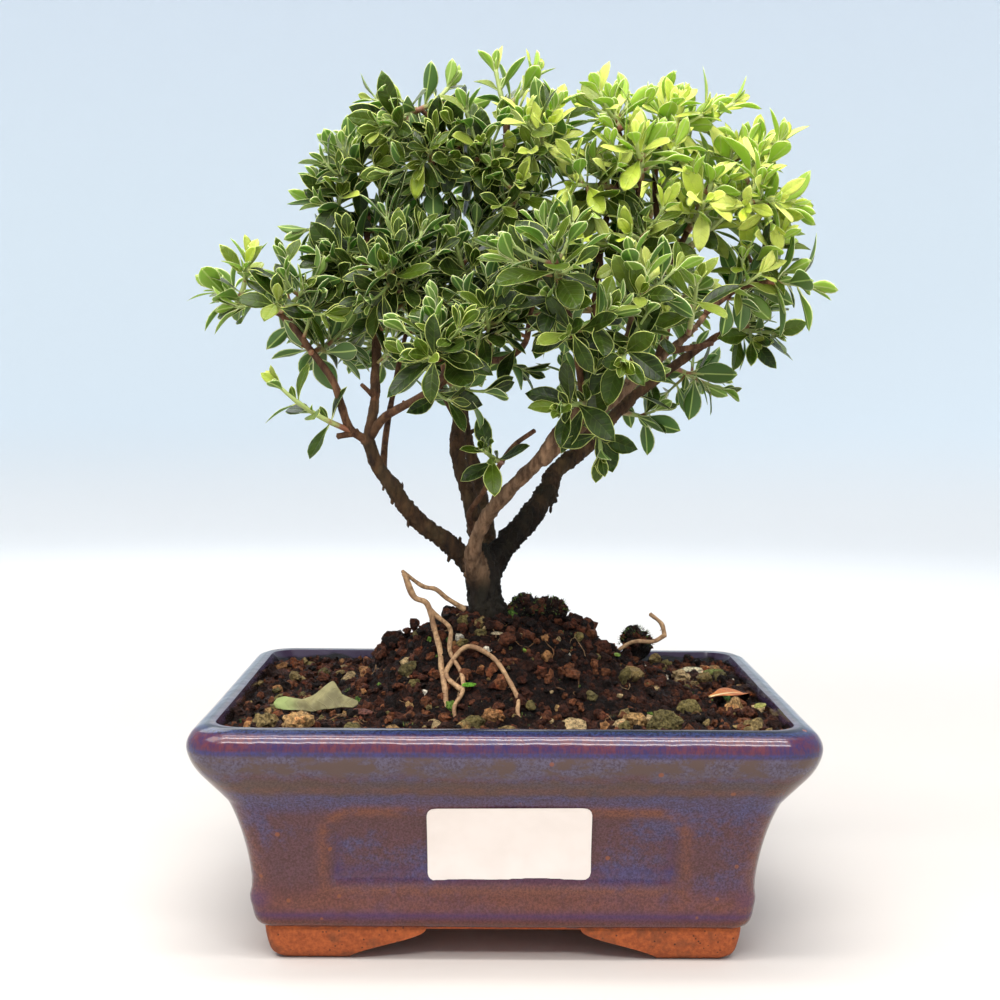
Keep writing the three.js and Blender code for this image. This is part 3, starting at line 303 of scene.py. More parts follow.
def stem_draws(seed):
    """The stream of draws that sets where a shoot's leaves stand."""
    state = seed & 0xFFFFFFFF

    def product(a, b):
        return (a * b) & 0xFFFFFFFF

    def draw():
        nonlocal state
        state = (state + 0x6D2B79F5) & 0xFFFFFFFF
        mix = product(state ^ (state >> 15), state | 1)
        mix ^= (mix + product(mix ^ (mix >> 7), mix | 61)) & 0xFFFFFFFF
        return (mix ^ (mix >> 14)) / 4294967296
    return draw


def stray(draw, rise=0.0, spread=1.0):
    """A random direction. Its upward share is drawn about rise."""
    return unit(np.array([draw.gauss(0, 1), draw.gauss(0, 1), draw.gauss(rise, spread)]))


def turned_by(draw):
    """A random turn, as a matrix."""
    spin = Matrix.Rotation(draw.random() * math.tau, 3, "Z")
    tip = Matrix.Rotation(draw.random() * math.pi, 3, "X")
    return np.array(spin @ tip)


# ---------------------------------------------------------------- meshes
def add_to_scene(name, data):
    thing = bpy.data.objects.new(name, data)
    bpy.context.scene.collection.objects.link(thing)
    return thing


class Surface:
    """Vertices, faces and what each vertex or face carries, gathered for one object."""

    def __init__(self):
        self.vertices, self.faces, self.slots = [], [], []
        self.traits = {}
        self.count = 0

    def add(self, vertices, faces, slot=0, **traits):
        vertices = np.asarray(vertices, float)
        self.vertices.append(vertices)
        self.faces.extend([tuple(i + self.count for i in face) for face in faces])
        self.slots.extend([slot] * len(faces) if np.isscalar(slot) else list(slot))
        for name, values in traits.items():
            self.traits.setdefault(name, []).append(
                np.broadcast_to(np.asarray(values, float), (len(vertices), 3)))
        self.count += len(vertices)

    def points(self):
        return np.concatenate(self.vertices)

    def build(self, name, materials=(), smooth_faces=True):
        mesh = bpy.data.meshes.new(name)
        points = (self.points() + POT_CENTRE / MM) * MM
        mesh.from_pydata(points.tolist(), [], self.faces)
        for material in materials:
            mesh.materials.append(material)
        mesh.polygons.foreach_set("material_index", self.slots)
        mesh.polygons.foreach_set("use_smooth", [smooth_faces] * len(self.faces))
        for trait, rows in self.traits.items():
            layer = mesh.attributes.new(trait, "FLOAT_VECTOR", "POINT")
            layer.data.foreach_set("vector", np.concatenate(rows).ravel())
        mesh.validate()
        mesh.update()
        return add_to_scene(name, mesh)


def plain_object(name, vertices, faces):
    shape = Surface()
    shape.add(vertices, faces)
    return shape.build(name)


def install(piece, slot, *nodes):
    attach(piece, "root")
    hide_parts(*nodes)


def loft_faces(rows, columns):
    """Faces between closed rings of points."""
    return [(i * columns + j, i * columns + (j + 1) % columns,
             (i + 1) * columns + (j + 1) % columns, (i + 1) * columns + j)
            for i in range(rows - 1) for j in range(columns)]


def capped_loft(rows, columns):
    """Faces between closed rings of points, with a flat end on the first and on the last."""
    first, last = range(columns), range((rows - 1) * columns, rows * columns)
    return loft_faces(rows, columns) + [tuple(reversed(first)), tuple(last)]


def flipped(faces):
    return [tuple(reversed(face)) for face in faces]


def tube(path, radii, sides, wobble=0.0, seed=0):
    """A closed tube along path, with domed ends. Returns its vertices and faces."""
    draw = random.Random(seed)
    path = np.asarray(path, float)
    count = len(path)
    tangents = np.gradient(path, axis=0)
    tangents /= np.linalg.norm(tangents, axis=1)[:, None]
    normal = np.array([0.0, 1.0, 0.0])
    if abs(tangents[0] @ normal) > 0.95:
        normal = np.array([1.0, 0.0, 0.0])
    angles = turns(sides)
    rings = []
    for i in range(count):
        normal = unit(normal - tangents[i] * (normal @ tangents[i]))
        across = np.cross(tangents[i], normal)
        radius = radii[i] * (1 + wobble * (draw.random() - 0.5))
        circle = np.outer(np.cos(angles), normal) + np.outer(np.sin(angles), across)
        rings.append(path[i] + radius * circle)
    start = path[0] - tangents[0] * radii[0] * 0.5
    end = path[-1] + tangents[-1] * radii[-1] * 0.5
    vertices = np.concatenate(rings + [[start, end]])
    faces = loft_faces(count, sides)
    base, tip, top = count * sides, count * sides + 1, (count - 1) * sides
    faces += [(base, (j + 1) % sides, j) for j in range(sides)]
    faces += [(tip, top + j, top + (j + 1) % sides) for j in range(sides)]
    return vertices, faces


def ico_ball(level):
    """A unit icosphere, as vertices and triangles."""
    ball = bmesh.new()
    bmesh.ops.create_icosphere(ball, subdivisions=level, radius=1)
    vertices = np.array([v.co[:] for v in ball.verts])
    faces = [tuple(v.index for v in face.verts) for face in ball.faces]
    ball.free()
    return vertices, faces


SMALL_BALL, MIDDLE_BALL, LARGE_BALL = (ico_ball(level) for level in (1, 2, 3))


def rugged(points, scale, depth, seed):
    """points pushed in and out along their own direction by noise."""
    offset = Vector((seed * 7.1, seed * 3.7, seed * 1.9))
    lifts = [1 + depth * noise.noise(Vector(p) * scale + offset) for p in points]
    return points * np.array(lifts)[:, None]


def nearest_tree(points):
    """Finds the nearest of points, by its number."""
    tree = kdtree.KDTree(len(points))
    for k, point in enumerate(points):
        tree.insert(Vector(point), k)
    tree.balance()
    return tree


def settled(thing):
    """Applies the modifiers of thing to its mesh."""
    mesh = bpy.data.meshes.new_from_object(
        thing.evaluated_get(bpy.context.evaluated_depsgraph_get()))
    thing.modifiers.clear()
    thing.data = mesh
    return thing


def cut(target, operation, *tools):
    """Applies exact booleans to target and deletes the tools."""
    for tool in tools:
        step = target.modifiers.new("cut", "BOOLEAN")
        step.operation = operation
        step.solver = "EXACT"
        step.object = tool
    settled(target)
    for tool in tools:
        bpy.data.objects.remove(tool)
    return target


# ---------------------------------------------------------------- material helpers
def srgb(red, green, blue):
    """A linear colour from the 0 to 255 numbers of a screen colour."""
    def linear(value):
        value /= 255
        return value / 12.92 if value <= 0.04045 else ((value + 0.055) / 1.055) ** 2.4
    return (linear(red), linear(green), linear(blue), 1.0)


def palette(*colours):
    return [srgb(*colour) for colour in colours]


class Shader:
    """A material's node tree, with short names for the nodes this scene uses."""

    def __init__(self, name, **constants):
        self.material = bpy.data.materials.new(name)
        self.material.use_nodes = True
        self.tree = self.material.node_tree
        self.surface = self.tree.nodes["Principled BSDF"]
        self.set(self.surface, **constants)

    def node(self, kind, **settings):
        made = self.tree.nodes.new(kind)
        for key, value in settings.items():
            setattr(made, key, value)
        return made

    def set(self, made, **values):
        """Fixed values of a node's inputs. A gap in an input's name is written as _."""
        for socket, value in values.items():
            made.inputs[socket.replace("_", " ")].default_value = value

    def feed(self, value, socket):
        """Links another node's output to socket, or sets a plain number or colour."""
        if isinstance(value, (int, float, tuple)):
            socket.default_value = value
        else:
            self.tree.links.new(value, socket)

    def place(self, scale=(1, 1, 1)):
        """The point on the object in millimetres, times scale."""
        mapping = self.node("ShaderNodeMapping")
        self.set(mapping, Scale=[s / MM for s in scale])
        self.feed(self.node("ShaderNodeTexCoord").outputs["Object"], mapping.inputs["Vector"])
        return mapping.outputs["Vector"]

    def noise(self, size, detail=4, rough=0.55, stretch=(1, 1, 1)):
        """Noise whose features are about size millimetres across, from 0 to 1."""
        made = self.node("ShaderNodeTexNoise")
        self.set(made, Scale=1 / size, Detail=detail, Roughness=rough)
        self.feed(self.place(stretch), made.inputs["Vector"])
        return made.outputs["Fac"]

    def cells(self, size, feature="F1", output="Distance", stretch=(1, 1, 1)):
        """Cells about size millimetres across."""
        made = self.node("ShaderNodeTexVoronoi", feature=feature)
        self.set(made, Scale=1 / size)
        self.feed(self.place(stretch), made.inputs["Vector"])
        return made.outputs[output]

    def split(self, vector):
        made = self.node("ShaderNodeSeparateXYZ")
        self.feed(vector, made.inputs[0])
        return made.outputs

    def joined(self, *parts):
        """A colour from its red, green and blue."""
        made = self.node("ShaderNodeCombineColor")
        for part, socket in zip(parts, made.inputs):
            self.feed(part, socket)
        return made.outputs[0]

    def trait(self, name):
        """The three numbers that a mesh carries under this name."""
        return self.split(self.node("ShaderNodeAttribute", attribute_name=name).outputs["Vector"])

    def ramp(self, value, low, high, out_low=0.0, out_high=1.0):
        made = self.node("ShaderNodeMapRange", interpolation_type="SMOOTHSTEP")
        self.feed(value, made.inputs["Value"])
        self.set(made, From_Min=low, From_Max=high, To_Min=out_low, To_Max=out_high)
        return made.outputs["Result"]

    def math(self, operation, first, second):
        made = self.node("ShaderNodeMath", operation=operation)
        self.feed(first, made.inputs[0])
        self.feed(second, made.inputs[1])
        return made.outputs[0]

    def times(self, first, second):
        return self.math("MULTIPLY", first, second)

    def ragged(self, value, size, detail, reach):
        """value moved up and down by noise, by as much as reach."""
        return self.math("ADD", value, self.ramp(self.noise(size, detail), 0, 1, -reach, reach))

    def ribs(self, middle, along, slope, spacing):
        """A zigzag across a blade's slanting ribs, 0 on each rib."""
        slant = self.math("SUBTRACT", along, self.times(middle, slope))
        return self.math("PINGPONG", slant, spacing)

    def mix(self, share, first, second, blend="MIX"):
        """From one linear colour, or output of a node, to another."""
        made = self.node("ShaderNodeMix", data_type="RGBA", blend_type=blend)
        for value, number in ((share, 0), (first, 6), (second, 7)):
            self.feed(value, made.inputs[number])
        return made.outputs[2]

    def tones(self, share, first, second):
        """From one screen colour to another."""
        return self.mix(share, *palette(first, second))

    def over(self, base, share, colour, strength=None):
        """base, with a screen colour or the output of a node laid over it."""
        if strength is not None:
            share = self.times(share, strength)
        return self.mix(share, base, srgb(*colour) if isinstance(colour, tuple) else colour)

    def colour(self, value):
        self.feed(value, self.surface.inputs["Base Color"])

    def roughness(self, value):
        self.feed(value, self.surface.inputs["Roughness"])

    def bump(self, *layers):
        """Each layer is a height from 0 to 1 and the millimetres that 1 stands for."""
        previous = None
        for height, depth in layers:
            made = self.node("ShaderNodeBump")
            self.set(made, Strength=1.0, Distance=depth * MM)
            self.feed(height, made.inputs["Height"])
            if previous is not None:
                self.feed(previous, made.inputs["Normal"])
            previous = made.outputs["Normal"]
        self.feed(previous, self.surface.inputs["Normal"])


# ---------------------------------------------------------------- pot
STRAIGHT_STEPS = 110
SIDE_STEPS = 44
CORNER_STEPS = 9
OUTER_LEVELS = sampled(OUTER_PROFILE, 4)
INNER_LEVELS = sampled(INNER_PROFILE, 2)
FOOT_LEVELS = sampled(FOOT_PROFILE, 4)
PANEL_WALL = (12, 46)
OFF_PANEL = -10
# Level bands of the outside where the glaze runs thin: height, spread and how thin.
THIN_BANDS = ((15.5, 2.2, 0.55), (45.6, 1.0, 0.5), (10.2, 1.2, 0.35))
ROLL_START = 54.4
DRIP_RELIEF = 1.3
WAVE_RELIEF = 0.22
SHARP_ANGLE = math.radians(38)


def pot_ring(inset, z, straight=STRAIGHT_STEPS, side=SIDE_STEPS):
    """A level of the pot's rounded rectangle, from the middle of its right side round."""
    half_x, half_y = RIM_LENGTH / 2 - inset, RIM_WIDTH / 2 - inset
    radius = max(RIM_CORNER - CORNER_TAPER * inset, 0.6)
    flat_x, flat_y = half_x - radius, half_y - radius
    runs = [
        ((half_x, -flat_y), (half_x, flat_y), side, (flat_x, flat_y), 0),
        ((flat_x, half_y), (-flat_x, half_y), straight, (-flat_x, flat_y), 1),
        ((-half_x, flat_y), (-half_x, -flat_y), side, (-flat_x, -flat_y), 2),
        ((-flat_x, -half_y), (flat_x, -half_y), straight, (flat_x, -flat_y), 3),
    ]
    ring = []
    for start, end, steps, centre, quarter in runs:
        for k in range(steps):
            t = k / steps
            ring.append((start[0] + (end[0] - start[0]) * t,
                         start[1] + (end[1] - start[1]) * t, z))
        for k in range(CORNER_STEPS):
            angle = (quarter + k / CORNER_STEPS) * math.pi / 2
            ring.append((centre[0] + radius * math.cos(angle),
                         centre[1] + radius * math.sin(angle), z))
    return np.array(ring)


def panel_recess(x, z):
    """How far inside the sunk panel's outline a point of the long wall lies, negative outside."""
    inside = np.minimum(PANEL_HALF - np.abs(x), np.minimum(z - PANEL_LOW, PANEL_HIGH - z))
    corner_x = np.abs(x) - (PANEL_HALF - PANEL_CORNER)
    corner_z = z - (PANEL_HIGH - PANEL_CORNER)
    rounded = PANEL_CORNER - np.hypot(corner_x, corner_z)
    return np.where((corner_x > 0) & (corner_z > 0), rounded, inside)


def sink_panels(rings, inset, outer):
    """Sinks the panel into both long walls, and returns how far inside it each point lies."""
    x, y, z = rings[..., 0], rings[..., 1], rings[..., 2]
    on_long = outer & (np.abs(np.abs(y) - (RIM_WIDTH / 2 - inset)) < 0.01)
    low, high = PANEL_WALL
    depth_in = np.where(on_long & (z > low) & (z < high), panel_recess(x, z), OFF_PANEL)
    groove, ridge = panel_lines(depth_in, z)
    sink = PANEL_DEPTH * smooth((depth_in + 0.6) / 3.4) + 0.2 * groove - 0.25 * ridge
    rings[..., 1] -= np.sign(y) * np.where(depth_in > OFF_PANEL, sink, 0)
    return depth_in


def panel_lines(depth_in, z):
    """The groove inside the panel's outline and the ridge round it, from 0 to 1."""
    return hump(depth_in, 2.6, 1.2) * (z < PANEL_HIGH - 6), hump(depth_in, -1.0, 1.1)


def glaze_flow(rings, inset, outer, depth_in):
    """Where the glaze is thin, where it pools and where it drips, from 0 to 1."""
    x, y, z = rings[..., 0], rings[..., 1], rings[..., 2]
    groove, ridge = panel_lines(depth_in, z)
    corner = (np.abs(np.abs(x) - (RIM_LENGTH / 2 - inset))
              + np.abs(np.abs(y) - (RIM_WIDTH / 2 - inset)))
    thin = 0.5 * ridge * (z > PANEL_HIGH - 5) + 0.4 * ridge
    thin += 0.75 * hump(corner, 2.6, 1.8) * outer * (z < 44)
    thin += 0.45 * hump(depth_in, -1.2, 1.9) * (depth_in > OFF_PANEL)
    thin += 0.7 * hump(corner, 1.5, 2.0) * outer * (z > 51) * (z < 58.5)
    for level, spread, share in THIN_BANDS:
        thin += outer * share * hump(z, level, spread)
    lead = np.where(y < 0, np.where(x < 0, 1.0, 0.75), 0.5)
    drip = outer * lead * hump(corner, 2.8, 1.9) * hump(z, 16.4, 2.4)
    pooled = 0.75 * groove * hump(z - PANEL_LOW, 2.4, 1.6) + 0.18 * groove
    pooled += 0.5 * drip + outer * 0.45 * hump(z, 12.4, 0.9)
    return np.clip(thin, 0, 1), np.clip(pooled, 0, 1), drip


def pot_surface():
    """The pot above its feet, as an object, its vertices and the traits of their glaze."""
    levels = np.concatenate([OUTER_LEVELS, INNER_LEVELS])
    rings = np.array([pot_ring(inset, z) for inset, z in levels])
    outer = np.arange(len(levels))[:, None] < len(OUTER_LEVELS)
    inset, z = levels[:, :1], rings[..., 2]
    depth_in = sink_panels(rings, inset, outer)
    thin, pooled, drip = glaze_flow(rings, inset, outer, depth_in)
    # The roll trait is negative on the inner wall above 50 mm, where the glaze paints the wall
    # near-black: partly soil stain, partly painted shade.
    roll = outer * smooth(z - ROLL_START) - (1 - outer) * (z > 50)
    wave = np.array([[noise.noise(Vector(p) * 0.06) for p in ring[::3]] for ring in rings])
    wave = np.repeat(wave, 3, axis=1)[:, :rings.shape[1]]
    outward = rings.copy()
    outward[..., 2] = 0
    outward /= np.linalg.norm(outward, axis=2)[..., None]
    rings += outward * (WAVE_RELIEF * wave * (z > FOOT_HEIGHT) + DRIP_RELIEF * drip)[..., None]
    vertices = rings.reshape(-1, 3)
    pot = plain_object("pot_glazed", vertices, capped_loft(*rings.shape[:2]))
    return pot, vertices, np.stack([thin, pooled, roll], axis=2).reshape(-1, 3)


def arch_cutter(low, high):
    """A bar with the section of the gap between two feet, lying along Y."""
    steps = 20
    half = [(low, -1.0)]
    for k in range(steps + 1):
        t = k / steps
        half.append((low + (high - low) * (0.5 - 0.5 * math.cos(math.pi * t)), ARCH_TOP * t))
    outline = half + [(-x, z) for x, z in reversed(half)]
    vertices = [(x, y, z) for y in (-RIM_LENGTH, RIM_LENGTH) for x, z in outline]
    return np.array(vertices), flipped(capped_loft(2, len(outline)))


def box_mesh(size_x, size_y, size_z):
    """A box from minus to plus these sizes."""
    signs = [(-1, -1, -1), (1, -1, -1), (1, 1, -1), (-1, 1, -1),
             (-1, -1, 1), (1, -1, 1), (1, 1, 1), (-1, 1, 1)]
    vertices = np.array(signs) * np.array([size_x, size_y, size_z])
    return vertices, [(0, 3, 2, 1), (4, 5, 6, 7), (0, 1, 5, 4), (2, 3, 7, 6), (1, 2, 6, 5),
                      (0, 4, 7, 3)]


def foot_object():
    """The ring of feet: a moulded base with its middle and its four arches taken out."""
    rings = np.array([pot_ring(inset, z, 50, 30) for inset, z in FOOT_LEVELS])
    feet = plain_object("feet", rings.reshape(-1, 3), capped_loft(*rings.shape[:2]))
    inner = plain_object("inner", *box_mesh(RIM_LENGTH / 2 - FOOT_INSET - FOOT_WALL,
                                            RIM_WIDTH / 2 - FOOT_INSET - FOOT_WALL, 20))
    front = plain_object("front", *arch_cutter(*FRONT_ARCH))
    points, faces = arch_cutter(*SIDE_ARCH)
    side = plain_object("side", points[:, [1, 0, 2]] * np.array([-1, 1, 1]), faces)
    return cut(feet, "DIFFERENCE", inner, front, side)


def drain_cutter(x):
    """A round bar through the pot's floor."""
    ring = [(x + DRAIN_RADIUS * math.cos(a), DRAIN_RADIUS * math.sin(a)) for a in turns(32)]
    vertices = [(*place, z) for z in (-5.0, 20.0) for place in ring]
    return plain_object("drain", vertices, capped_loft(2, len(ring)))


def wall_glaze(look, level, grain, speck):
    """Blue and plum, browner low down and in a band under the rim, greyer on the belly."""
    haze = look.math("ADD", look.noise(15, 3, 0.5, stretch=(0.7, 1, 1.3)),
                     look.ramp(look.noise(2.6, 5, 0.7), 0.3, 0.7, -0.1, 0.1))
    wall = look.mix(look.ramp(haze, 0.3, 0.58), look.tones(speck, (78, 70, 108), (54, 42, 66)),
                    look.tones(speck, (92, 56, 64), (66, 36, 34)))
    rust = look.tones(speck, (98, 46, 40), (76, 34, 22))
    wall = look.over(wall, look.ramp(level, 24, 14), rust, 0.7)
    belly = look.tones(grain, (88, 80, 100), (66, 52, 66))
    cloud = look.ramp(look.noise(6, 4, 0.65, stretch=(0.7, 1, 1.2)), 0.42, 0.6)
    wall = look.over(wall, look.ramp(level, 48.6, 51.0), look.over(belly, cloud, (82, 62, 56)))
    band = look.times(look.ramp(level, 43.0, 45.4), look.ramp(level, 49.6, 47.6))
    wall = look.over(wall, band, look.tones(speck, (80, 60, 44), (56, 38, 28)), 0.7)
    upper = look.times(look.ramp(level, 38, 41), look.ramp(level, 45.4, 43.4))
    return look.over(wall, upper, look.tones(speck, (72, 72, 118), (52, 40, 62)), 0.6)


def rim_glaze(look, height, grain):
    """Streaks of navy and maroon, with a bluer lip below and a dark top."""
    streak = look.ramp(look.noise(0.8, 5, 0.7, stretch=(1, 1, 0.2)), 0.4, 0.6)
    drift = look.ramp(look.noise(9, 4, 0.6), 0.4, 0.6)
    rim = look.mix(drift, look.tones(streak, (50, 38, 78), (76, 42, 62)),
                   look.tones(streak, (66, 36, 62), (92, 44, 52)))
    lip = look.tones(grain, (36, 42, 100), (40, 34, 66))
    rim = look.over(rim, look.ramp(height, 56.4, 55.6), lip, 0.8)
    shoulder = look.tones(grain, (44, 54, 92), (30, 30, 50))
    rim = look.over(rim, look.ramp(height, 59.2, 60.1), shoulder)
    return look.over(rim, look.ramp(height, 60.2, 60.6), (30, 34, 44))


def bare_clay(look):
    """The clay of the feet, with brown stains and dark specks."""
    grit = look.ramp(look.noise(1.1, 5, 0.7), 0.3, 0.7)
    stain = look.ramp(look.noise(7, 4, 0.65), 0.5, 0.64)
    clay = look.over(look.tones(grit, (182, 94, 46), (138, 66, 32)), stain, (96, 58, 38), 0.5)
    return look.over(clay, look.ramp(look.cells(1.7), 0.18, 0.1), (50, 32, 24), 0.8)


def glaze_material():
    look = Shader("glaze", Roughness=0.16, IOR=1.46)
    thin, pooled, roll = look.trait("glaze")
    grain = look.ramp(look.noise(0.7, 4, 0.75), 0.42, 0.6)
    speck = look.ramp(look.noise(0.55, 4, 0.8), 0.38, 0.62)
    height = look.split(look.place())[2]
    level = look.ragged(height, 9, 3, 1.6)
    wall = look.over(wall_glaze(look, level, grain, speck), roll, rim_glaze(look, height, grain))
    # Inner wall: near-black below 59 mm, partly soil stain and partly painted shade, dark purple
    # glaze above.
    inside = look.tones(look.ramp(level, 58.4, 59.6), (24, 18, 15), (58, 44, 66))
    wall = look.over(wall, look.ramp(roll, -0.4, -0.9), inside)
    worn = look.times(thin, look.ramp(look.noise(5, 3), 0.22, 0.56))
    wall = look.over(wall, worn, look.tones(speck, (116, 66, 46), (84, 44, 34)))
    wall = look.over(wall, pooled, (40, 24, 92))
    wall = look.over(wall, look.ramp(look.cells(8.5), 0.09, 0.06), (132, 72, 40), 0.75)
    pits = look.ramp(look.cells(4.3, stretch=(1.1, 0.9, 1)), 0.05, 0.03)
    wall = look.over(wall, pits, (30, 22, 30), 0.7)
    glazed = look.ramp(look.ragged(height, 6, 2, 0.7), 8.7, 9.1)
    look.colour(look.mix(glazed, bare_clay(look), wall))
    look.roughness(look.ramp(glazed, 0, 1, 0.85, 0.13))
    look.bump((look.noise(11, 2), 0.35), (look.noise(0.5, 2), 0.012))
    return look.material


def carry_glaze(pot, vertices, traits):
    """Gives each point of the finished pot the traits of the nearest point of its moulding."""
    tree = nearest_tree(vertices)
    shift = Vector(POT_CENTRE)
    rows = []
    for vertex in pot.data.vertices:
        _, k, distance = tree.find((vertex.co - shift) / MM)
        rows.append(traits[k] if distance < 1 else np.zeros(3))
    layer = pot.data.attributes.new("glaze", "FLOAT_VECTOR", "POINT")
    layer.data.foreach_set("vector", np.concatenate(rows))


def build_pot():
    pot, vertices, traits = pot_surface()
    cut(pot, "UNION", foot_object())
    cut(pot, "DIFFERENCE", drain_cutter(-DRAIN_X), drain_cutter(DRAIN_X))
    carry_glaze(pot, vertices, traits)
    pot.data.materials.clear()
    pot.data.materials.append(glaze_material())
    pot.data.polygons.foreach_set("use_smooth", [True] * len(pot.data.polygons))
    pot.data.set_sharp_from_angle(angle=SHARP_ANGLE)
    install(pot, "glaze", "pot")


# ---------------------------------------------------------------- label
LABEL_GRID = (34, 20)
LABEL_SIDES = (0.42, 0.2)


def front_wall(z):
    """The y of the bottom of the front panel at this height."""
    inset = np.interp(z, OUTER_LEVELS[:, 1], OUTER_LEVELS[:, 0])
    return -(RIM_WIDTH / 2 - inset) + PANEL_DEPTH


def behind_label(u, v):
    """The place on the wall behind a point of the label, u and v from -1 to 1."""
    half_x, half_z = LABEL_SIZE[0] / 2, LABEL_SIZE[1] / 2
    x, z = u * half_x, v * half_z
    over_x, over_z = abs(x) - (half_x - LABEL_CORNER), abs(z) - (half_z - LABEL_CORNER)
    if over_x > 0 and over_z > 0:
        reach = max(over_x, over_z) / math.hypot(over_x, over_z)
        x = math.copysign(half_x - LABEL_CORNER + over_x * reach, x)
        z = math.copysign(half_z - LABEL_CORNER + over_z * reach, z)
    x, z = x - LABEL_TILT * z, z + LABEL_TILT * x
    x, z = x + LABEL_CENTRE[0], z + LABEL_CENTRE[1]
    low, high = LABEL_BEND
    return x, front_wall(z) - PANEL_DEPTH * float(smooth((z - low) / (high - low))), z


def build_label():
    columns, rows = LABEL_GRID
    wall = np.array([behind_label(2 * i / columns - 1, 2 * j / rows - 1)
                     for j in range(rows + 1) for i in range(columns + 1)])
    width, total = columns + 1, len(wall)
    faces = []
    for k in (j * width + i for j in range(rows) for i in range(columns)):
        faces.append((k, k + 1, k + width + 1, k + width))
        faces.append((total + k, total + k + width, total + k + width + 1, total + k + 1))
    rim = ([i for i in range(columns)] + [j * width + columns for j in range(rows)]
           + [rows * width + i for i in range(columns, 0, -1)]
           + [j * width for j in range(rows, 0, -1)])
    for corner, following in zip(rim, rim[1:] + rim[:1]):
        faces.append((following, corner, total + corner, total + following))
    look = Shader("label_paper", Roughness=0.42, IOR=1.45)
    look.colour(look.tones(look.ramp(look.noise(12, 3), 0.3, 0.7), (240, 230, 222),
                           (233, 222, 213)))
    look.bump((look.noise(0.5, 3), 0.01))
    sheet = Surface()
    sheet.add(np.concatenate([wall - [0, side, 0] for side in LABEL_SIDES]), faces)
    piece = sheet.build("label_sheet", [look.material])
    piece.data.set_sharp_from_angle(angle=math.radians(40))
    install(piece, "label", "label")


def dress_screens():
    look = Shader("screen_plastic", Roughness=0.55)
    look.colour(look.tones(look.noise(1.2, 3), (38, 38, 38), (58, 56, 52)))
    look.bump((look.noise(0.6, 3), 0.05))
    for name in ("drain_screen_left", "drain_screen_right"):
        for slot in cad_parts[name].material_slots:
            slot.material = look.material


# ---------------------------------------------------------------- soil
SOIL_ROWS = 150
SOIL_EDGE = 7.5
SOIL_SIDE = ((10.9, 50), (13.4, 46), (16.7, 39), (18.6, 28), (19.8, FLOOR_TOP + 0.3))
CLUMP_CRUMBS = 60
LUMP_CRUMBS = 26
TRUNK_CRUMBS = 170
GRAVEL = 150
CRUMBS = 3000
MOUND_CRUMBS = 500
FIBRES = 90
FIBRE_STEPS = 5
CLUMP_TUFTS = 150
MOSS_SPOTS = 26
SPOT_TUFTS = 14
PEAT = palette((64, 34, 22), (42, 22, 14), (84, 47, 30), (26, 16, 11), (104, 62, 38))
STONES = palette((156, 122, 78), (128, 108, 68), (106, 94, 54), (150, 106, 66), (176, 150, 108),
                 (94, 84, 50))
MOSS = palette((74, 104, 40), (52, 78, 34), (104, 132, 52))
FIBRE_TINTS = palette((128, 96, 66), (86, 58, 42), (150, 120, 88))
PALE_CRUMB = srgb(200, 190, 170)
# Bits of leaf and bark on the soil: place, heading, half sizes, colour.
LITTER = [
    (57, 36, -0.6, (4.2, 1.5, 0.3), (206, 194, 158)),
    (62, 30, 0.3, (3.6, 1.4, 0.3), (112, 118, 62)),
    (-9, -31, 0.4, (2.0, 0.9, 0.25), (98, 150, 44)),
    (30, -12, 1.2, (1.8, 0.8, 0.25), (112, 140, 52)),
    (66, -24, 0.9, (3.0, 1.0, 0.25), (160, 156, 84)),
    (-36, -34, -0.5, (3.4, 1.2, 0.3), (96, 60, 50)),
    (-2, -18, 0.2, (1.6, 0.7, 0.2), (178, 160, 128)),
    (14, -30, 2.1, (2.2, 0.6, 0.25), (120, 84, 58)),
]
LITTER_TILT = 0.45
LITTER_SEED = 80
TRUNK_FOOT = TRUNK_ROUTE[0]


def mound_height(x, y):
    """The height of the smooth soil at these places, as arrays."""
    reach = np.where(x < MOUND_CENTRE[0], MOUND_LEFT, MOUND_RIGHT)
    distance = np.hypot((x - MOUND_CENTRE[0]) / reach, (y - MOUND_CENTRE[1]) / MOUND_DEPTH)
    mound = MOUND_RISE * (1 - smooth(distance - MOUND_SHOULDER))
    ball_x, ball_y, rise, ball_reach = ROOT_BALL
    ball = rise * (1 - smooth(np.hypot(x - ball_x, y - ball_y) / ball_reach))
    coarse = 0.5 * np.sin(0.55 * x + 1.3) * np.sin(0.6 * y)
    fine = 0.35 * np.sin(0.9 * y - 0.4 * x)
    return SOIL_LEVEL - SOIL_SLOPE * y + mound + ball + coarse + fine


def ground(x, y):
    """The height of the smooth soil at one place."""
    return float(mound_height(np.array(x), np.array(y)))


def crumble(x, y):
    """The lumps and grains of the soil's face at this place, in millimetres."""
    place = Vector((x, y, 0))
    warped = place + noise.noise_vector(place * 0.35) * 1.6
    coarse = 0.55 - noise.voronoi(warped * 0.24)[0][0]
    grain = 0.5 - noise.voronoi(warped * 0.55)[0][0]
    fine = 0.5 - noise.voronoi(warped * 1.15)[0][0]
    where = smooth(0.5 + 1.5 * noise.noise(place * 0.11))
    bank = 1.5 * smooth((y - 4) / 34)
    return (2.4 * where + 0.6) * coarse + 1.7 * grain + 0.9 * fine - 0.8 + bank


def soil_place(draw, margin):
    """A random place on the soil, and its height."""
    x = draw.uniform(-1, 1) * (RIM_LENGTH / 2 - margin)
    y = draw.uniform(-1, 1) * (RIM_WIDTH / 2 - margin)
    return x, y, ground(x, y) + crumble(x, y)


# Middle and half sizes of each clump of moss.
CLUMP_BALLS = [(np.array([x, y, ground(x, y) + proud - radii[2] / 2]), np.array(radii))
               for x, y, proud, radii in CLUMPS]


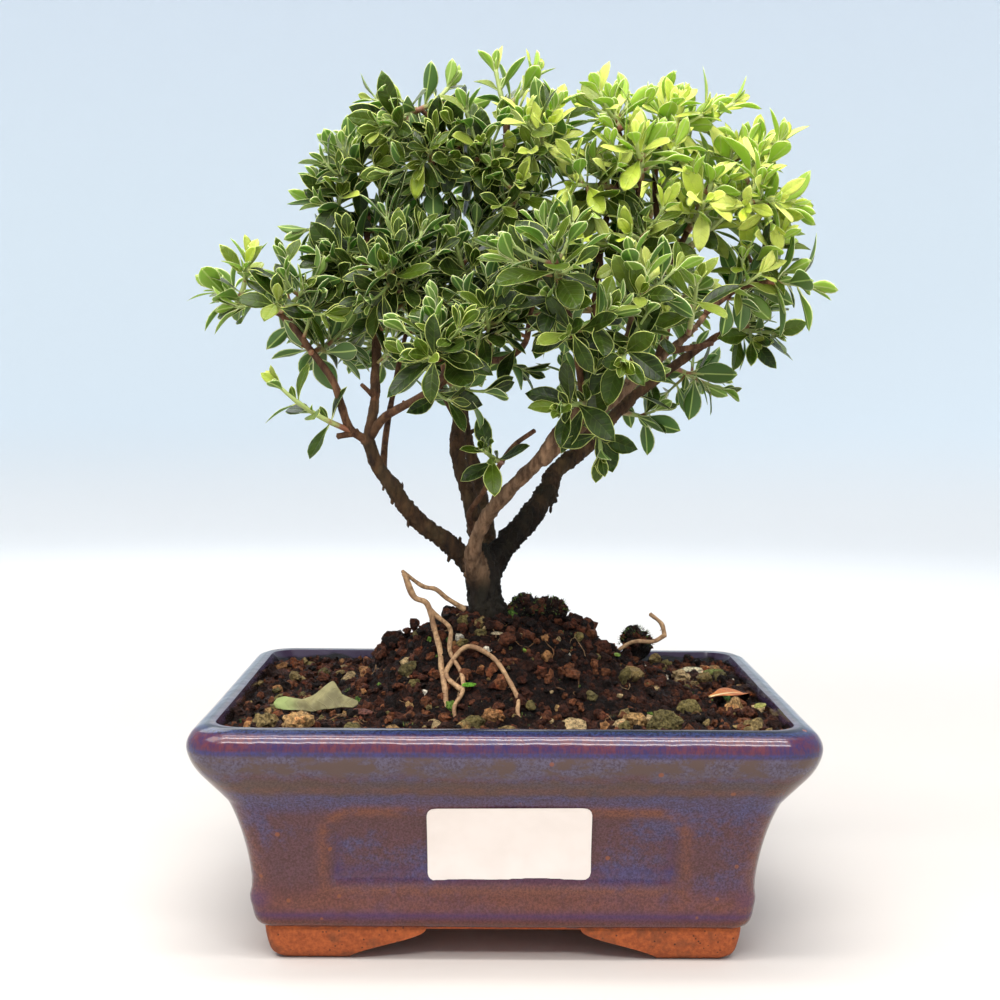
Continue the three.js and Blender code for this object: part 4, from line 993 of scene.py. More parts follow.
def soil_material(name, chunky):
    look = Shader(name, Roughness=0.95, Specular_IOR_Level=0.2)
    shade = look.ramp(look.noise(0.9, 5, 0.8), 0.34, 0.68, 0.3, 1.9)
    if chunky:
        chunk = look.ramp(look.cells(2.3, output="Color"), 0.25, 0.75, 0.55, 1.7)
        # Painted shade: the soil darkens towards the edges of the cells, as in the cracks between
        # crumbs.
        crack = look.ramp(look.cells(2.3, "DISTANCE_TO_EDGE"), 0.0, 0.14, 0.3, 1.0)
        shade = look.times(shade, look.times(chunk, crack))
    colour = look.mix(1.0, look.joined(*look.trait("tint")), look.joined(shade, shade, shade),
                      "MULTIPLY")
    rust = look.ramp(look.noise(3.2, 4, 0.6), 0.55, 0.7, 0, 0.5)
    look.colour(look.mix(rust, colour, look.mix(1.0, colour, (2.1, 1.35, 1.1, 1), "MULTIPLY")))
    look.roughness(look.ramp(look.noise(2.4, 3), 0.35, 0.7, 0.98, 0.62))
    look.bump((look.noise(1.5, 6, 0.85), 1.2), (look.cells(0.8), 0.4))
    return look.material


def soil_tint(p, relief):
    """The colour of the soil's face: blacker by the trunk, with painted light on its lumps and
    painted shade in its hollows.
    """
    share = smooth(0.5 + 1.3 * noise.noise(Vector(p) * 0.09))
    black = smooth((p[2] - 68) / 10)
    painted_light_and_shade = 0.45 + 1.35 * smooth((relief + 0.7) / 2.2)
    warm, dark = np.array(PEAT[0][:3]), np.array(PEAT[1][:3])
    return (warm * share + dark * (1 - share)) * (1 - 0.5 * black) * painted_light_and_shade


def build_soil_bed():
    """The soil as one body, with its rough face and its clumps."""
    edge = pot_ring(SOIL_EDGE + SOIL_INSET, 0)
    rows, reliefs = [], []
    for k in range(1, SOIL_ROWS + 1):
        ring = edge * (k / SOIL_ROWS)
        lifts = np.array([crumble(x, y) for x, y, _ in ring])
        reliefs.extend(lifts)
        heights = mound_height(ring[:, 0], ring[:, 1]) + lifts
        rows.append(np.column_stack([ring[:, :2], heights]))
    rows += [pot_ring(inset + SOIL_INSET, z) for inset, z in SOIL_SIDE]
    count = len(edge)
    vertices = np.concatenate(rows + [[[0, 0, ground(0, 0)]]])
    top, last = len(vertices) - 1, (len(rows) - 1) * count
    faces = flipped(loft_faces(len(rows), count))
    faces += [(top, j, (j + 1) % count) for j in range(count)]
    faces.append(tuple(range(last + count - 1, last - 1, -1)))
    reliefs += [0.0] * (len(vertices) - len(reliefs))
    bed = Surface()
    bed.add(vertices, faces, tint=[soil_tint(p, relief) for p, relief in zip(vertices, reliefs)])
    vertices, faces = LARGE_BALL
    for number, (middle, radii) in enumerate(CLUMP_BALLS):
        shape = rugged(vertices, 2.1, 0.5, 40 + number) * radii * 0.8
        bed.add(shape + middle, faces, tint=PEAT[3][:3])
    install(bed.build("soil_bed", [soil_material("soil_face", True)]), "soil", "soil")


def add_lump(loose, ball, centre, radii, tint, draw, depth, seed):
    """A rough stone or crumb, turned at random."""
    vertices, faces = ball
    shape = rugged(rugged(vertices, 1.3, depth, seed), 3.1, 0.7 * depth, seed + 1)
    shape = shape * np.array(radii) @ turned_by(draw).T
    loose.add(shape + np.array(centre), faces, tint=np.array(tint[:3]) * draw.uniform(0.8, 1.2))


def add_pebbles(loose, draw):
    """The pebbles that the solids have too."""
    for number, (x, y, radius) in enumerate(PEBBLES):
        place = (x, y, ground(x, y) + 0.25 * radius)
        add_lump(loose, LARGE_BALL, place, (radius * 1.2, radius, radius * 0.8),
                 STONES[number % len(STONES)], draw, 0.4, number)


def add_peat_crumb(loose, draw, place, size, narrow=0.8, seed=None):
    """A crumb in one of the four darker colours of peat."""
    tint = draw.choice(PEAT[:4])
    seed = draw.randrange(1000) if seed is None else seed
    add_lump(loose, MIDDLE_BALL, place, (size, size * 0.8, size * narrow), tint, draw, 0.6, seed)


def add_peat(loose, draw):
    """Crumbs of peat on the clumps, on the peat lumps and round the trunk."""
    for middle, radii in CLUMP_BALLS:
        for _ in range(CLUMP_CRUMBS):
            away = stray(draw, 0.4)
            place = middle + away * radii * draw.uniform(0.7, 0.95)
            add_peat_crumb(loose, draw, place, draw.uniform(0.5, 1.5), 0.7)
    for lump_x, lump_y, radius in PEAT_LUMPS:
        for _ in range(LUMP_CRUMBS):
            x, y = lump_x + draw.gauss(0, 0.5) * radius, lump_y + draw.gauss(0, 0.4) * radius
            size = radius * draw.uniform(0.18, 0.5)
            place = (x, y, ground(x, y) + draw.uniform(0, 0.45) * radius)
            add_peat_crumb(loose, draw, place, size)
    for number in range(TRUNK_CRUMBS):
        angle, away = draw.uniform(0, math.tau), 4.8 + abs(draw.gauss(0, 3.2))
        x, y = TRUNK_FOOT[0] + away * math.cos(angle), TRUNK_FOOT[1] + away * math.sin(angle)
        size = draw.uniform(0.5, 1.6)
        place = (x, y, ground(x, y) + draw.uniform(-0.2, 2.2) / (1 + 0.15 * away))
        add_peat_crumb(loose, draw, place, size, seed=number)


def add_gravel(loose, draw):
    """Small stones, fewer of them on the mound."""
    for number in range(GRAVEL):
        x, y, z = soil_place(draw, 9)
        if abs(x) < 40 and z > 64 and number % 5:
            continue
        radius = draw.uniform(0.9, 2.5)
        radii = [radius * draw.uniform(0.65, 1.25) for _ in range(3)]
        tint = draw.choice(STONES + PEAT[:2])
        add_lump(loose, MIDDLE_BALL, (x, y, z + 0.2 * radius), radii, tint, draw, 0.5, number)


def add_crumbs(loose, draw):
    """Crumbs all over, the first of them on the front of the mound."""
    for number in range(CRUMBS):
        x, y, z = soil_place(draw, SOIL_EDGE)
        if number < MOUND_CRUMBS:
            x, y = MOUND_CENTRE[0] + draw.gauss(0, 17), draw.gauss(-16, 12)
            z = ground(x, y) + crumble(x, y)
        radius = 0.35 + 1.5 * draw.random() ** 2.4
        radii = [radius * draw.uniform(0.6, 1.2) for _ in range(3)]
        kind = draw.random()
        tint = draw.choice(PEAT)
        if kind > 0.95:
            tint = draw.choice(STONES)
        elif kind > 0.93:
            tint = draw.choice(MOSS)
        elif kind > 0.926:
            tint = PALE_CRUMB
        ball = MIDDLE_BALL if radius > 0.9 else SMALL_BALL
        add_lump(loose, ball, (x, y, z + 0.25 * radius), radii, tint, draw, 0.6, number)


def add_litter(loose):
    vertices, faces = MIDDLE_BALL
    for x, y, heading, radii, tint in LITTER:
        turned = Matrix.Rotation(heading, 3, "Z") @ Matrix.Rotation(LITTER_TILT, 3, "X")
        chip = rugged(vertices, 1.0, 0.2, LITTER_SEED) * np.array(radii) @ np.array(turned).T
        loose.add(chip + np.array([x, y, ground(x, y) + 1.6]), faces, tint=srgb(*tint)[:3])


def add_fibres(loose, draw):
    """Thin roots that lie on the soil. Every third one is near the trunk."""
    for number in range(FIBRES):
        x, y, _ = soil_place(draw, 20)
        if number % 3 == 0:
            x, y = TRUNK_FOOT[0] + draw.gauss(0, 6), TRUNK_FOOT[1] - 3 + draw.gauss(0, 5)
        heading = draw.uniform(0, math.tau)
        length = draw.uniform(2.5, 8)
        path = []
        for k in range(FIBRE_STEPS + 1):
            t = k / FIBRE_STEPS
            bend = heading + 0.9 * math.sin(3 * t + number)
            px, py = x + length * t * math.cos(bend), y + length * t * math.sin(bend)
            if abs(px) > RIM_LENGTH / 2 - 8 or abs(py) > RIM_WIDTH / 2 - 8:
                break
            face = ground(px, py) + crumble(px, py)
            path.append((px, py, face + 0.1 + 1.4 * math.sin(math.pi * t) * draw.random()))
        if len(path) > 3:
            thin = draw.uniform(0.08, 0.17)
            vertices, faces = tube(path, [thin] * len(path), 5)
            loose.add(vertices, faces, tint=draw.choice(FIBRE_TINTS)[:3])


def add_tuft(moss, foot, direction, draw, length):
    """One tiny pointed blade of moss."""
    lean = unit(direction + 0.7 * np.array([draw.gauss(0, 0.5) for _ in range(3)]))
    side = unit(np.cross(lean, [0.3, 0.5, 0.9])) * 0.13
    other = unit(np.cross(lean, side)) * 0.13
    tip = foot + lean * length * draw.uniform(0.5, 1.1)
    vertices = [foot + side, foot - 0.5 * side + other, foot - 0.5 * side - other, tip]
    faces = [(0, 1, 3), (1, 2, 3), (2, 0, 3), (0, 2, 1)]
    moss.add(vertices, faces, tone=(draw.random() ** 2, 0, 0))


def build_moss(draw):
    """Moss all over the clumps, and in small spots elsewhere."""
    moss = Surface()
    for middle, radii in CLUMP_BALLS:
        for _ in range(CLUMP_TUFTS):
            angle, level = draw.uniform(0, math.tau), draw.uniform(0.0, 1.0)
            out = math.sqrt(max(0.0, 1 - level * level))
            direction = np.array([out * math.cos(angle), out * math.sin(angle), level])
            add_tuft(moss, middle + direction * radii * 0.95, direction, draw, 1.3)
    for _ in range(MOSS_SPOTS):
        x, y, z = soil_place(draw, 12)
        for _ in range(SPOT_TUFTS):
            dx, dy = draw.gauss(0, 1.0), draw.gauss(0, 1.0)
            add_tuft(moss, np.array([x + dx, y + dy, z]), np.array([0, 0, 1.0]), draw, 1.1)
    look = Shader("moss", Roughness=0.8)
    look.colour(look.tones(look.trait("tone")[0], (38, 44, 22), (112, 140, 52)))
    install(moss.build("moss_tufts", [look.material]), "soil", "soil")


def build_soil():
    draw = random.Random(23)
    build_soil_bed()
    loose = Surface()
    add_pebbles(loose, draw)
    add_peat(loose, draw)
    add_gravel(loose, draw)
    add_crumbs(loose, draw)
    add_litter(loose)
    add_fibres(loose, draw)
    piece = loose.build("soil_crumbs_and_pebbles", [soil_material("soil_grains", False)],
                        smooth_faces=False)
    install(piece, "soil", "soil")
    build_moss(draw)


# ---------------------------------------------------------------- wood
THICK_LIMB = 1.5
STUB_LIMB = 2.6
BARK_SHARDS = 260
WOOD_VOXEL = 0.48
PALE_LIMBS = ("front_limb", "front_right")
SHARD_LIMBS = ("right_limb", "left_limb", "centre_limb")


def trunk_path():
    path = sampled(TRUNK_ROUTE, 6)
    return path, spread_over(TRUNK_RADII, len(path))


def limb_path(name):
    start, end, route = LIMBS[name]
    path = sampled(route, 5)
    return path, spread_over((start, end), len(path))


def bark_material():
    """Old bark on the trunk, lighter limbs and twigs, and two pale limbs."""
    look = Shader("bark", Roughness=0.85, Specular_IOR_Level=0.3)
    girth, pale, level = look.trait("wood")
    grain = look.ramp(look.noise(1.6, 5, 0.65, stretch=(1, 1, 0.3)), 0.3, 0.7)
    flakes = look.ramp(look.cells(2.6, stretch=(1, 1, 0.35)), 0.1, 0.75)
    patch = look.ramp(look.noise(5, 4, 0.6, stretch=(1, 1, 0.6)), 0.42, 0.62)
    old = look.over(look.tones(grain, (12, 9, 6), (40, 30, 20)), patch, (46, 43, 26), 0.35)
    limb = look.over(look.tones(grain, (36, 23, 14), (96, 68, 42)), patch, (100, 82, 52), 0.4)
    twig = look.tones(grain, (72, 42, 28), (132, 94, 64))
    colour = look.mix(look.ramp(girth, 0.9, 1.7), twig, limb)
    aged = look.math("MAXIMUM", look.ramp(girth, 2.1, 3.3), look.ramp(level, 96, 86))
    colour = look.over(colour, aged, old)
    light = look.tones(grain, (92, 66, 47), (172, 136, 104))
    colour = look.over(colour, look.times(pale, look.ramp(level, 88, 95)), light, 0.85)
    look.colour(look.over(colour, flakes, (24, 16, 11), 0.4))
    look.bump((look.noise(1.4, 6, 0.75, stretch=(1, 1, 0.3)), 0.8), (flakes, 0.4))
    return look.material


def wood_skeleton():
    """Tubes for the thick and for the thin wood, and place, girth and paleness along all."""
    thick, thin = Surface(), Surface()
    trunk, trunk_radii = trunk_path()
    thick.add(*tube(trunk, trunk_radii, 28))
    marks = [(place, girth, 0.0) for place, girth in zip(trunk, trunk_radii)]
    for name, (start, _, _) in LIMBS.items():
        path, radii = limb_path(name)
        knots = np.array([noise.noise(Vector((len(name) * 3.1, s * 2.3, 0)))
                          for s in np.linspace(0, 9, len(path))])
        radii = radii * (1 + 0.16 * knots)
        target, sides = (thick, 14) if start >= THICK_LIMB else (thin, 9)
        target.add(*tube(path, radii, sides, 0.08, len(name)))
        pale = 1.0 if name in PALE_LIMBS else 0.0
        marks += [(place, girth, pale) for place, girth in zip(path, radii)]
    return thick, thin, marks


def trait_finder(marks):
    """A function that gives points the girth and paleness of the wood they are nearest to."""
    tree = nearest_tree([place for place, _, _ in marks])

    def carried(points):
        nearest = [marks[tree.find(Vector(p))[1]] for p in points]
        return np.array([(girth, pale, p[2]) for p, (_, girth, pale) in zip(points, nearest)])
    return carried


def grown_together(thick):
    """The thick wood as one skin: its points, their normals and its faces."""
    core = thick.build("wood_core")
    remesh = core.modifiers.new("fuse", "REMESH")
    remesh.mode = "VOXEL"
    remesh.voxel_size = WOOD_VOXEL * MM
    relax = core.modifiers.new("relax", "SMOOTH")
    relax.factor = 0.5
    relax.iterations = 3
    mesh = settled(core).data
    points = np.zeros(len(mesh.vertices) * 3)
    mesh.vertices.foreach_get("co", points)
    points = points.reshape(-1, 3) / MM - POT_CENTRE / MM
    normals = np.array([v.normal[:] for v in mesh.vertices])
    faces = [tuple(face.vertices) for face in mesh.polygons]
    bpy.data.objects.remove(core)
    return points, normals, faces


def bark_relief(p, girth):
    """How far the bark stands out here, in millimetres."""
    def fibrous(across, along):
        return noise.noise(Vector((p[0] * across, p[1] * across, p[2] * along)))
    ridge, grain, crack = fibrous(0.75, 0.2), fibrous(1.7, 0.9), abs(fibrous(0.9, 0.45))
    knob = noise.noise(Vector(p) * 0.3)
    rough = float(smooth((girth - 1.6) / 1.6))
    return (girth * (0.15 * ridge + 0.13 * knob) + 0.2 * grain
            + rough * (0.5 * grain + 0.9 * crack - 0.2))


def add_stubs(bits, draw):
    """Short stubs of lost twigs on all but the thickest limbs."""
    for name in LIMBS:
        path, radii = limb_path(name)
        if radii[0] > STUB_LIMB:
            continue
        for k in range(2, len(path) - 1, 3):
            if draw.random() < 0.55:
                away = unit(np.array([draw.gauss(0, 1), draw.gauss(0, 1), draw.uniform(0, 1)]))
                foot = path[k]
                end = foot + away * (radii[k] + draw.uniform(0.5, 1.3))
                bits.add(*tube([foot, (foot + end) / 2, end],
                               [radii[k] * 0.6, radii[k] * 0.5, radii[k] * 0.32], 6))


def add_shards(bits, draw):
    """Loose flakes of bark on the trunk and, every second one, on the lowest limbs."""
    shard, faces = SMALL_BALL
    for k in range(BARK_SHARDS):
        path, radii = limb_path(draw.choice(SHARD_LIMBS)) if k % 2 else trunk_path()
        at = int(len(path) * 0.7 * draw.random() ** 1.3)
        away = stray(draw, 0, 0.4)
        place = path[at] + away * radii[at] * 0.98 + np.array([0, 0, draw.uniform(-1.5, 1.5)])
        size = draw.uniform(0.35, 0.8)
        chip = rugged(shard, 1.2, 0.5, k) * np.array([size * 0.7, size * 0.7, size * 1.7])
        bits.add(chip + place, faces)


def build_wood():
    draw = random.Random(5)
    thick, thin, marks = wood_skeleton()
    carried = trait_finder(marks)
    points, normals, faces = grown_together(thick)
    traits = carried(points)
    lifts = np.array([bark_relief(p, girth) for p, (girth, _, _) in zip(points, traits)])
    whole = Surface()
    whole.add(points + normals * lifts[:, None], faces, wood=traits)
    bits = Surface()
    add_stubs(bits, draw)
    add_shards(bits, draw)
    for part in (thin, bits):
        whole.add(part.points(), part.faces, wood=carried(part.points()))
    install(whole.build("bark_and_limbs", [bark_material()]), "bark", "trunk_and_limbs")


def root_material():
    look = Shader("root_bark", Roughness=0.75)
    grain = look.ramp(look.noise(1.0, 5, 0.65), 0.3, 0.7)
    colour = look.tones(grain, (116, 84, 54), (190, 152, 110))
    stain = look.ramp(look.noise(4, 3), 0.5, 0.68)
    look.colour(look.over(colour, stain, (120, 84, 58), 0.6))
    look.bump((look.noise(0.8, 5, 0.7), 0.18))
    return look.material


def build_roots():
    """The pale surface roots, with hairs along them."""
    material = root_material()
    draw = random.Random(31)
    for node, strands in ROOTS.items():
        whole = Surface()
        for number, (start, end, route) in enumerate(strands):
            path = sampled(route, 6)
            radii = spread_over((start, end), len(path))
            radii *= np.array([1 + 0.25 * noise.noise(Vector(p) * 0.5) for p in path])
            whole.add(*tube(path, radii, 10, 0.1, number))
            for k in range(4, len(path) - 6, 7):
                heading = stray(draw, -0.3, 0.5)
                reach = draw.uniform(0.8, 1.6)
                hair = [path[k], path[k] + heading * reach * 0.6,
                        path[k] + heading * reach + np.array([0, 0, -0.3])]
                whole.add(*tube(hair, [0.18, 0.12, 0.06], 5))
        install(whole.build(node + "_bark", [material]), "root", node)


# ---------------------------------------------------------------- leaves
NODE_SPACING = 5.2
END_PAIR = 1.2
FACE_UP = 0.6
BLADE_WIDTH = 0.39
PAIR_LEANS = (0.5, 0.95, 1.15, 1.25, 1.3)
PAIR_SHARES = (0.72, 0.92, 1, 1, 1)
PAIR_TONES = (0.2, 0.04, -0.06, -0.1, -0.12)
BLADE_FOLD = 0.12
BLADE_ARCH = 0.16
BLADE_THICK = 0.26
MARGIN = 0.18
LEAF_SCATTER = (0.5, 1.0, 0.2)
OUTLINE_T = (0, 0.07, 0.17, 0.3, 0.45, 0.58, 0.7, 0.82, 0.92, 1)
OUTLINE_W = (0.12, 0.13, 0.25, 0.55, 0.86, 1.0, 0.96, 0.77, 0.46, 0.03)
YOUNG_SHOOTS = {"far_left": 0.3, "left_sprig": 0.25, "left_shoot": 0.22, "left_crest": 0.1}
USUAL_SPRIGS = 6
SIDE_SPRIGS = {"left_sprig": 1, "far_left": 2, "left_shoot": 2, "front_whorl": 0,
               "front_hanging": 0, "front_low": 0, "front_limb_side": 1, "front_limb_tip": 3,
               "front_right_side": 1, "front_up_side": 2, "right_back_low": 2,
               "top_left_low": 9, "top_left_front": 8, "left_mid_tip": 8, "centre_left": 8,
               "left_back": 9, "left_tip": 6, "left_shoulder": 5, "left_fork": 8,
               "rear_left_tip": 8, "left_rosette": 8, "centre_rosette": 7, "front_rosette": 7}
BARE_LIMBS = ("front_limb", "front_right", "front_twig", "right_limb")
# Longer side stems that fill the crown: where each one heads, and how long it is.
EXTRA_SPRIGS = {
    "left_back": [((-34, -6, 200), 16), ((-26, -14, 196), 15)],
    "left_tip": [((-34, -16, 198), 15)],
    "left_fork": [((-33, -24, 190), 16), ((-29, -22, 201), 14), ((-22, -19, 190), 13)],
    "top_left_low": [((-33, -22, 194), 15), ((-19, -9, 187), 11)],
    "centre_left": [((-20, -14, 190), 12)],
    "left_shoulder": [((-42, -18, 192), 12)],
    "top_left_tip": [((-31, -20, 203), 13)],
}
EXTRA_LEAF = 13
EXTRA_SAG = np.array([0, 0, -1.0])
LIMB_SPRIG_EVERY = 5.0
CROWN_MIDDLE = np.array((0, -4, 167))
CROWN_REACH = np.array((78, 53, 64))
SPRIG_REACH = np.array((74, 53, 52))
CROWN_FLOOR_X = (-72, -47.5, -24, -10.5, 0, 20, 32.5, 48, 74.5)
CROWN_FLOOR_Z = (154, 149, 144, 135.5, 128.5, 124.5, 126.5, 135.5, 144)
STEM_PLACES = np.linspace(-0.04, 1, 12)
STEM_SIDES = 7


class Template:
    """A leaf as a grid of places along and across it, closed round its edge."""

    def __init__(self, rows, across):
        columns = len(across)
        places = [(i / rows, v) for i in range(rows) for v in across] + [(1.0, 0.0)]
        tip = rows * columns
        under = {}
        for i in range(1, rows):
            for j in range(1, columns - 1):
                under[(i, j)] = len(places)
                places.append((i / rows, across[j]))
        self.faces, self.slots = [], []
        for i in range(rows):
            for j in range(columns - 1):
                k = i * columns + j
                low = [under.get((i, j), k), under.get((i, j + 1), k + 1)]
                if i < rows - 1:
                    top = (k, k + 1, k + columns + 1, k + columns)
                    low = (low[0], under.get((i + 1, j), k + columns),
                           under.get((i + 1, j + 1), k + columns + 1), low[1])
                else:
                    top = (k, k + 1, tip)
                    low = (low[1], low[0], tip)
                self.faces += [top, low]
                self.slots += [0, 1]
        self.along, self.across = np.array(places).T
        self.is_low = (np.arange(len(places)) > tip).astype(float)


FINE = Template(9, (-1, -0.8, -0.42, 0, 0.42, 0.8, 1))
LIGHT = Template(7, (-1, -0.6, 0, 0.6, 1))
FINE_FROM = 12


def add_blade(surface, base, direction, face, length, width, tone, draw, curl=1.0):
    """A thin pointed leaf with a folded middle, arched along its length."""
    form = FINE if length > FINE_FROM else LIGHT
    side = np.cross(direction, face)
    t, v = form.along, form.across
    half = 0.5 * width * np.interp(t, OUTLINE_T, OUTLINE_W)
    arch = BLADE_ARCH * curl * draw.uniform(0.4, 1.7)
    fold = BLADE_FOLD * draw.uniform(0.4, 3.0)
    drift = draw.gauss(0, 0.07)
    twist = draw.gauss(0, 0.25) * t
    ripple = 0.025 * width * np.sin(t * 9 + draw.uniform(0, 6)) * np.abs(v)
    across = v * half
    lift = fold * np.abs(across) - arch * length * t * t + ripple
    lift = lift + across * np.sin(twist) - 0.14 * hump(v, 0, 0.2) * (1 - t)
    lift = lift - form.is_low * BLADE_THICK * (1 - 0.6 * t)
    along = length * t * (1 - 0.12 * arch * t)
    points = (base + np.outer(along, direction)
              + np.outer(across * np.cos(twist) + drift * length * t * t, side)
              + np.outer(lift, face))
    margin = min(MARGIN, 0.075 * width) * draw.uniform(0.6, 1.2)
    edge = (1 - np.abs(v)) * half / margin
    middle = np.abs(v) * half
    surface.add(points, form.faces, form.slots,
                blade=np.stack([edge, middle, length * t], axis=1),
                tone=(tone, draw.random(), 0.0))


def stem_curve(name):
    """Base, bend and tip of a shoot's stem."""
    parent, at, tip, _, _ = SHOOTS[name]
    if parent in LIMBS:
        base = catmull_point(LIMBS[parent][2], at)
    else:
        base = on_stem(stem_curve(parent), at)
    bend = np.array([0.4 * base[0] + 0.6 * tip[0], 0.4 * base[1] + 0.6 * tip[1],
                     0.65 * base[2] + 0.35 * tip[2]])
    return base, bend, tip


def on_stem(curve, t):
    base, bend, tip = curve
    return base * (1 - t) ** 2 + bend * 2 * t * (1 - t) + tip * t * t


def across_stem(curve, t):
    """The direction of the stem at t, and two directions square to it."""
    base, bend, tip = curve
    tangent = unit((bend - base) * (1 - t) + (tip - bend) * t)
    chord = tip - base
    level = np.cross(bend - base, chord)
    if np.linalg.norm(level) < 0.02 * (chord @ chord):
        level = np.cross([0, 1, 0], tangent)
    level = unit(level)
    return tangent, level, np.cross(tangent, level)


def leaf_frame(curve, t, turn, lean, face_up=FACE_UP):
    """Where a leaf starts on its stem, where it points and where its face looks."""
    tangent, first, second = across_stem(curve, t)
    outward = first * math.cos(turn) + second * math.sin(turn)
    direction = tangent * math.cos(lean) + outward * math.sin(lean)
    face = tangent * math.sin(lean) - outward * math.cos(lean) + np.array([0, 0, face_up])
    face = unit(face - direction * (face @ direction))
    return on_stem(curve, t), direction, face


def host_of(name):
    """The shoot whose piece this shoot's leaves belong to."""
    parent = SHOOTS[name][0]
    return host_of(parent) if parent in SHOOTS else name


def youth_of(name):
    """How young and yellow a shoot's leaves are, from 0 to 1; the extra on the upper right is
    partly painted light.
    """
    x, _, z = SHOOTS[name][2]
    high = float(smooth((z - 150) / 55))
    right = float(smooth((x + 15) / 50))
    return 0.1 + 0.2 * high + 0.56 * high * right + YOUNG_SHOOTS.get(name, 0)


def depth_in_crown(point):
    """0 at the outside of the crown and 1 at its middle."""
    away = (point - CROWN_MIDDLE) / CROWN_REACH
    return float(smooth(1.35 - 1.35 * np.linalg.norm(away)))


def above_crown_floor(point):
    return point[2] > np.interp(point[0], CROWN_FLOOR_X, CROWN_FLOOR_Z)


def add_shoot(surface, name, number):
    """A shoot of the solids with all its leaves, and the small stems on its sides."""
    _, _, _, pairs, leaf = SHOOTS[name]
    curve = stem_curve(name)
    draw = random.Random(1000 + number)
    youth = youth_of(name)
    # Leaves deep in the crown are made darker: partly older leaves, partly painted shade.
    young = youth - 0.12 * depth_in_crown(curve[2])
    add_leafy_stem(surface, curve, pairs, leaf, NODE_SPACING, young, stem_draws(number), draw)
    count = SIDE_SPRIGS.get(name, USUAL_SPRIGS)
    for k in range(count):
        t = 0.2 + 0.66 * (k + draw.random() * 0.7) / count
        tangent, first, second = across_stem(curve, t)
        turn = k * 2.4 + draw.random()
        outward = first * math.cos(turn) + second * math.sin(turn)
        heading = unit(tangent * draw.uniform(0.3, 0.9) + outward + np.array([0, 0, 0.25]))
        add_sprig(surface, on_stem(curve, t), outward, heading, draw, youth)
    for toward, reach in EXTRA_SPRIGS.get(name, ()):
        base = on_stem(curve, 0.35 + 0.4 * draw.random())
        heading = unit(np.array(toward) - base)
        tip = base + heading * reach
        side = (base, base + 0.5 * reach * heading + EXTRA_SAG, tip)
        # Leaves deep in the crown are made darker: partly older leaves, partly painted shade.
        young = youth * 0.85 - 0.3 * depth_in_crown(tip)
        add_leafy_stem(surface, side, 2, EXTRA_LEAF, 4.6, young, draw.random, draw, 0.6, False)


def add_sprig(surface, base, outward, heading, draw, youth):
    """A short side stem with two or three pairs of leaves."""
    length = draw.uniform(5, 12)
    tip = base + heading * length
    if (np.abs(tip - CROWN_MIDDLE) > SPRIG_REACH).any() or not above_crown_floor(tip):
        return
    curve = (base, base + unit(outward + heading) * length * 0.5, tip)
    # Leaves deep in the crown are made darker: partly older leaves, partly painted shade.
    young = youth * 0.85 - 0.3 * depth_in_crown(tip)
    add_leafy_stem(surface, curve, draw.choice((1, 1, 2)), draw.uniform(9.5, 14), 4.2, young,
                   draw.random, draw, 0.5, False)


def add_limb_sprigs(hosts):
    """Short leafy twigs along the outer limbs, in the piece of the nearest shoot of that limb."""
    draw = random.Random(4100)
    for limb in (name for name in LIMBS if name not in BARE_LIMBS):
        homes = [name for name in SHOOTS if SHOOTS[name][0] == limb]
        if not homes:
            continue
        path, _ = limb_path(limb)
        gone = 0.0
        for k in range(1, len(path)):
            gone += float(np.linalg.norm(path[k] - path[k - 1]))
            if gone < LIMB_SPRIG_EVERY or not above_crown_floor(path[k]):
                continue
            gone = draw.uniform(-1, 1)
            tangent = unit(path[k] - path[k - 1])
            away = np.array([draw.gauss(0, 1) for _ in range(3)])
            outward = unit(away - tangent * (away @ tangent))
            heading = unit(outward + 0.5 * tangent + np.array([0, 0, 0.3]))
            near = min(homes, key=lambda name: np.linalg.norm(stem_curve(name)[0] - path[k]))
            add_sprig(hosts[host_of(near)], path[k], outward, heading, draw, youth_of(near) - 0.1)


def add_leafy_stem(surface, curve, pairs, leaf, spacing, youth, placing, extra, girth=0.78,
                   main=True):
    """Pairs of leaves down a stem, small leaves at its end, and the stem itself. placing draws
    where the leaves stand, as in the solids, and extra draws the rest."""
    points = [on_stem(curve, t) for t in np.linspace(0, 1, 40)]
    reach = float(np.sum(np.linalg.norm(np.diff(points, axis=0), axis=1)))
    spacing = min(spacing, (reach - END_PAIR) / (pairs + 0.6))
    heading = placing() * math.pi
    for pair in range(pairs + 1):
        t = max(1 - (END_PAIR + pair * spacing) / reach, 0.1)
        for side in range(2):
            turn = heading + pair * math.pi / 2 + side * math.pi + 0.5 * (placing() - 0.5)
            lean = PAIR_LEANS[pair] + 0.3 * (placing() - 0.5)
            length = leaf * PAIR_SHARES[pair] * (0.9 + 0.2 * placing())
            tone = youth + PAIR_TONES[pair] + extra.gauss(0, 0.09)
            width = length * BLADE_WIDTH * extra.uniform(0.85, 1.2)
            add_blade(surface, *leaf_frame(curve, t, turn, lean), length, width, tone, extra)
            if main and extra.random() < 0.7:
                little = extra.uniform(3.5, 7)
                place = leaf_frame(curve, min(t + 0.02, 0.99), turn + extra.gauss(0, 0.6),
                                   lean * extra.uniform(0.35, 0.75))
                add_blade(surface, *place, little, little * 0.46,
                          tone + extra.uniform(0.0, 0.12), extra)
    for k in range(4 if main else 2):
        little = extra.uniform(4.5, 7.5) * (1 if k < 2 else 0.65)
        turn = heading + math.pi / 2 + k * math.pi / 2 + extra.gauss(0, 0.2)
        place = leaf_frame(curve, 0.995, turn, 0.22 + 0.14 * (k < 2), 0.1)
        add_blade(surface, *place, little, little * 0.44, youth + extra.uniform(0.12, 0.34),
                  extra, 0.3)
    add_stem(surface, curve, reach, spacing, youth, girth)


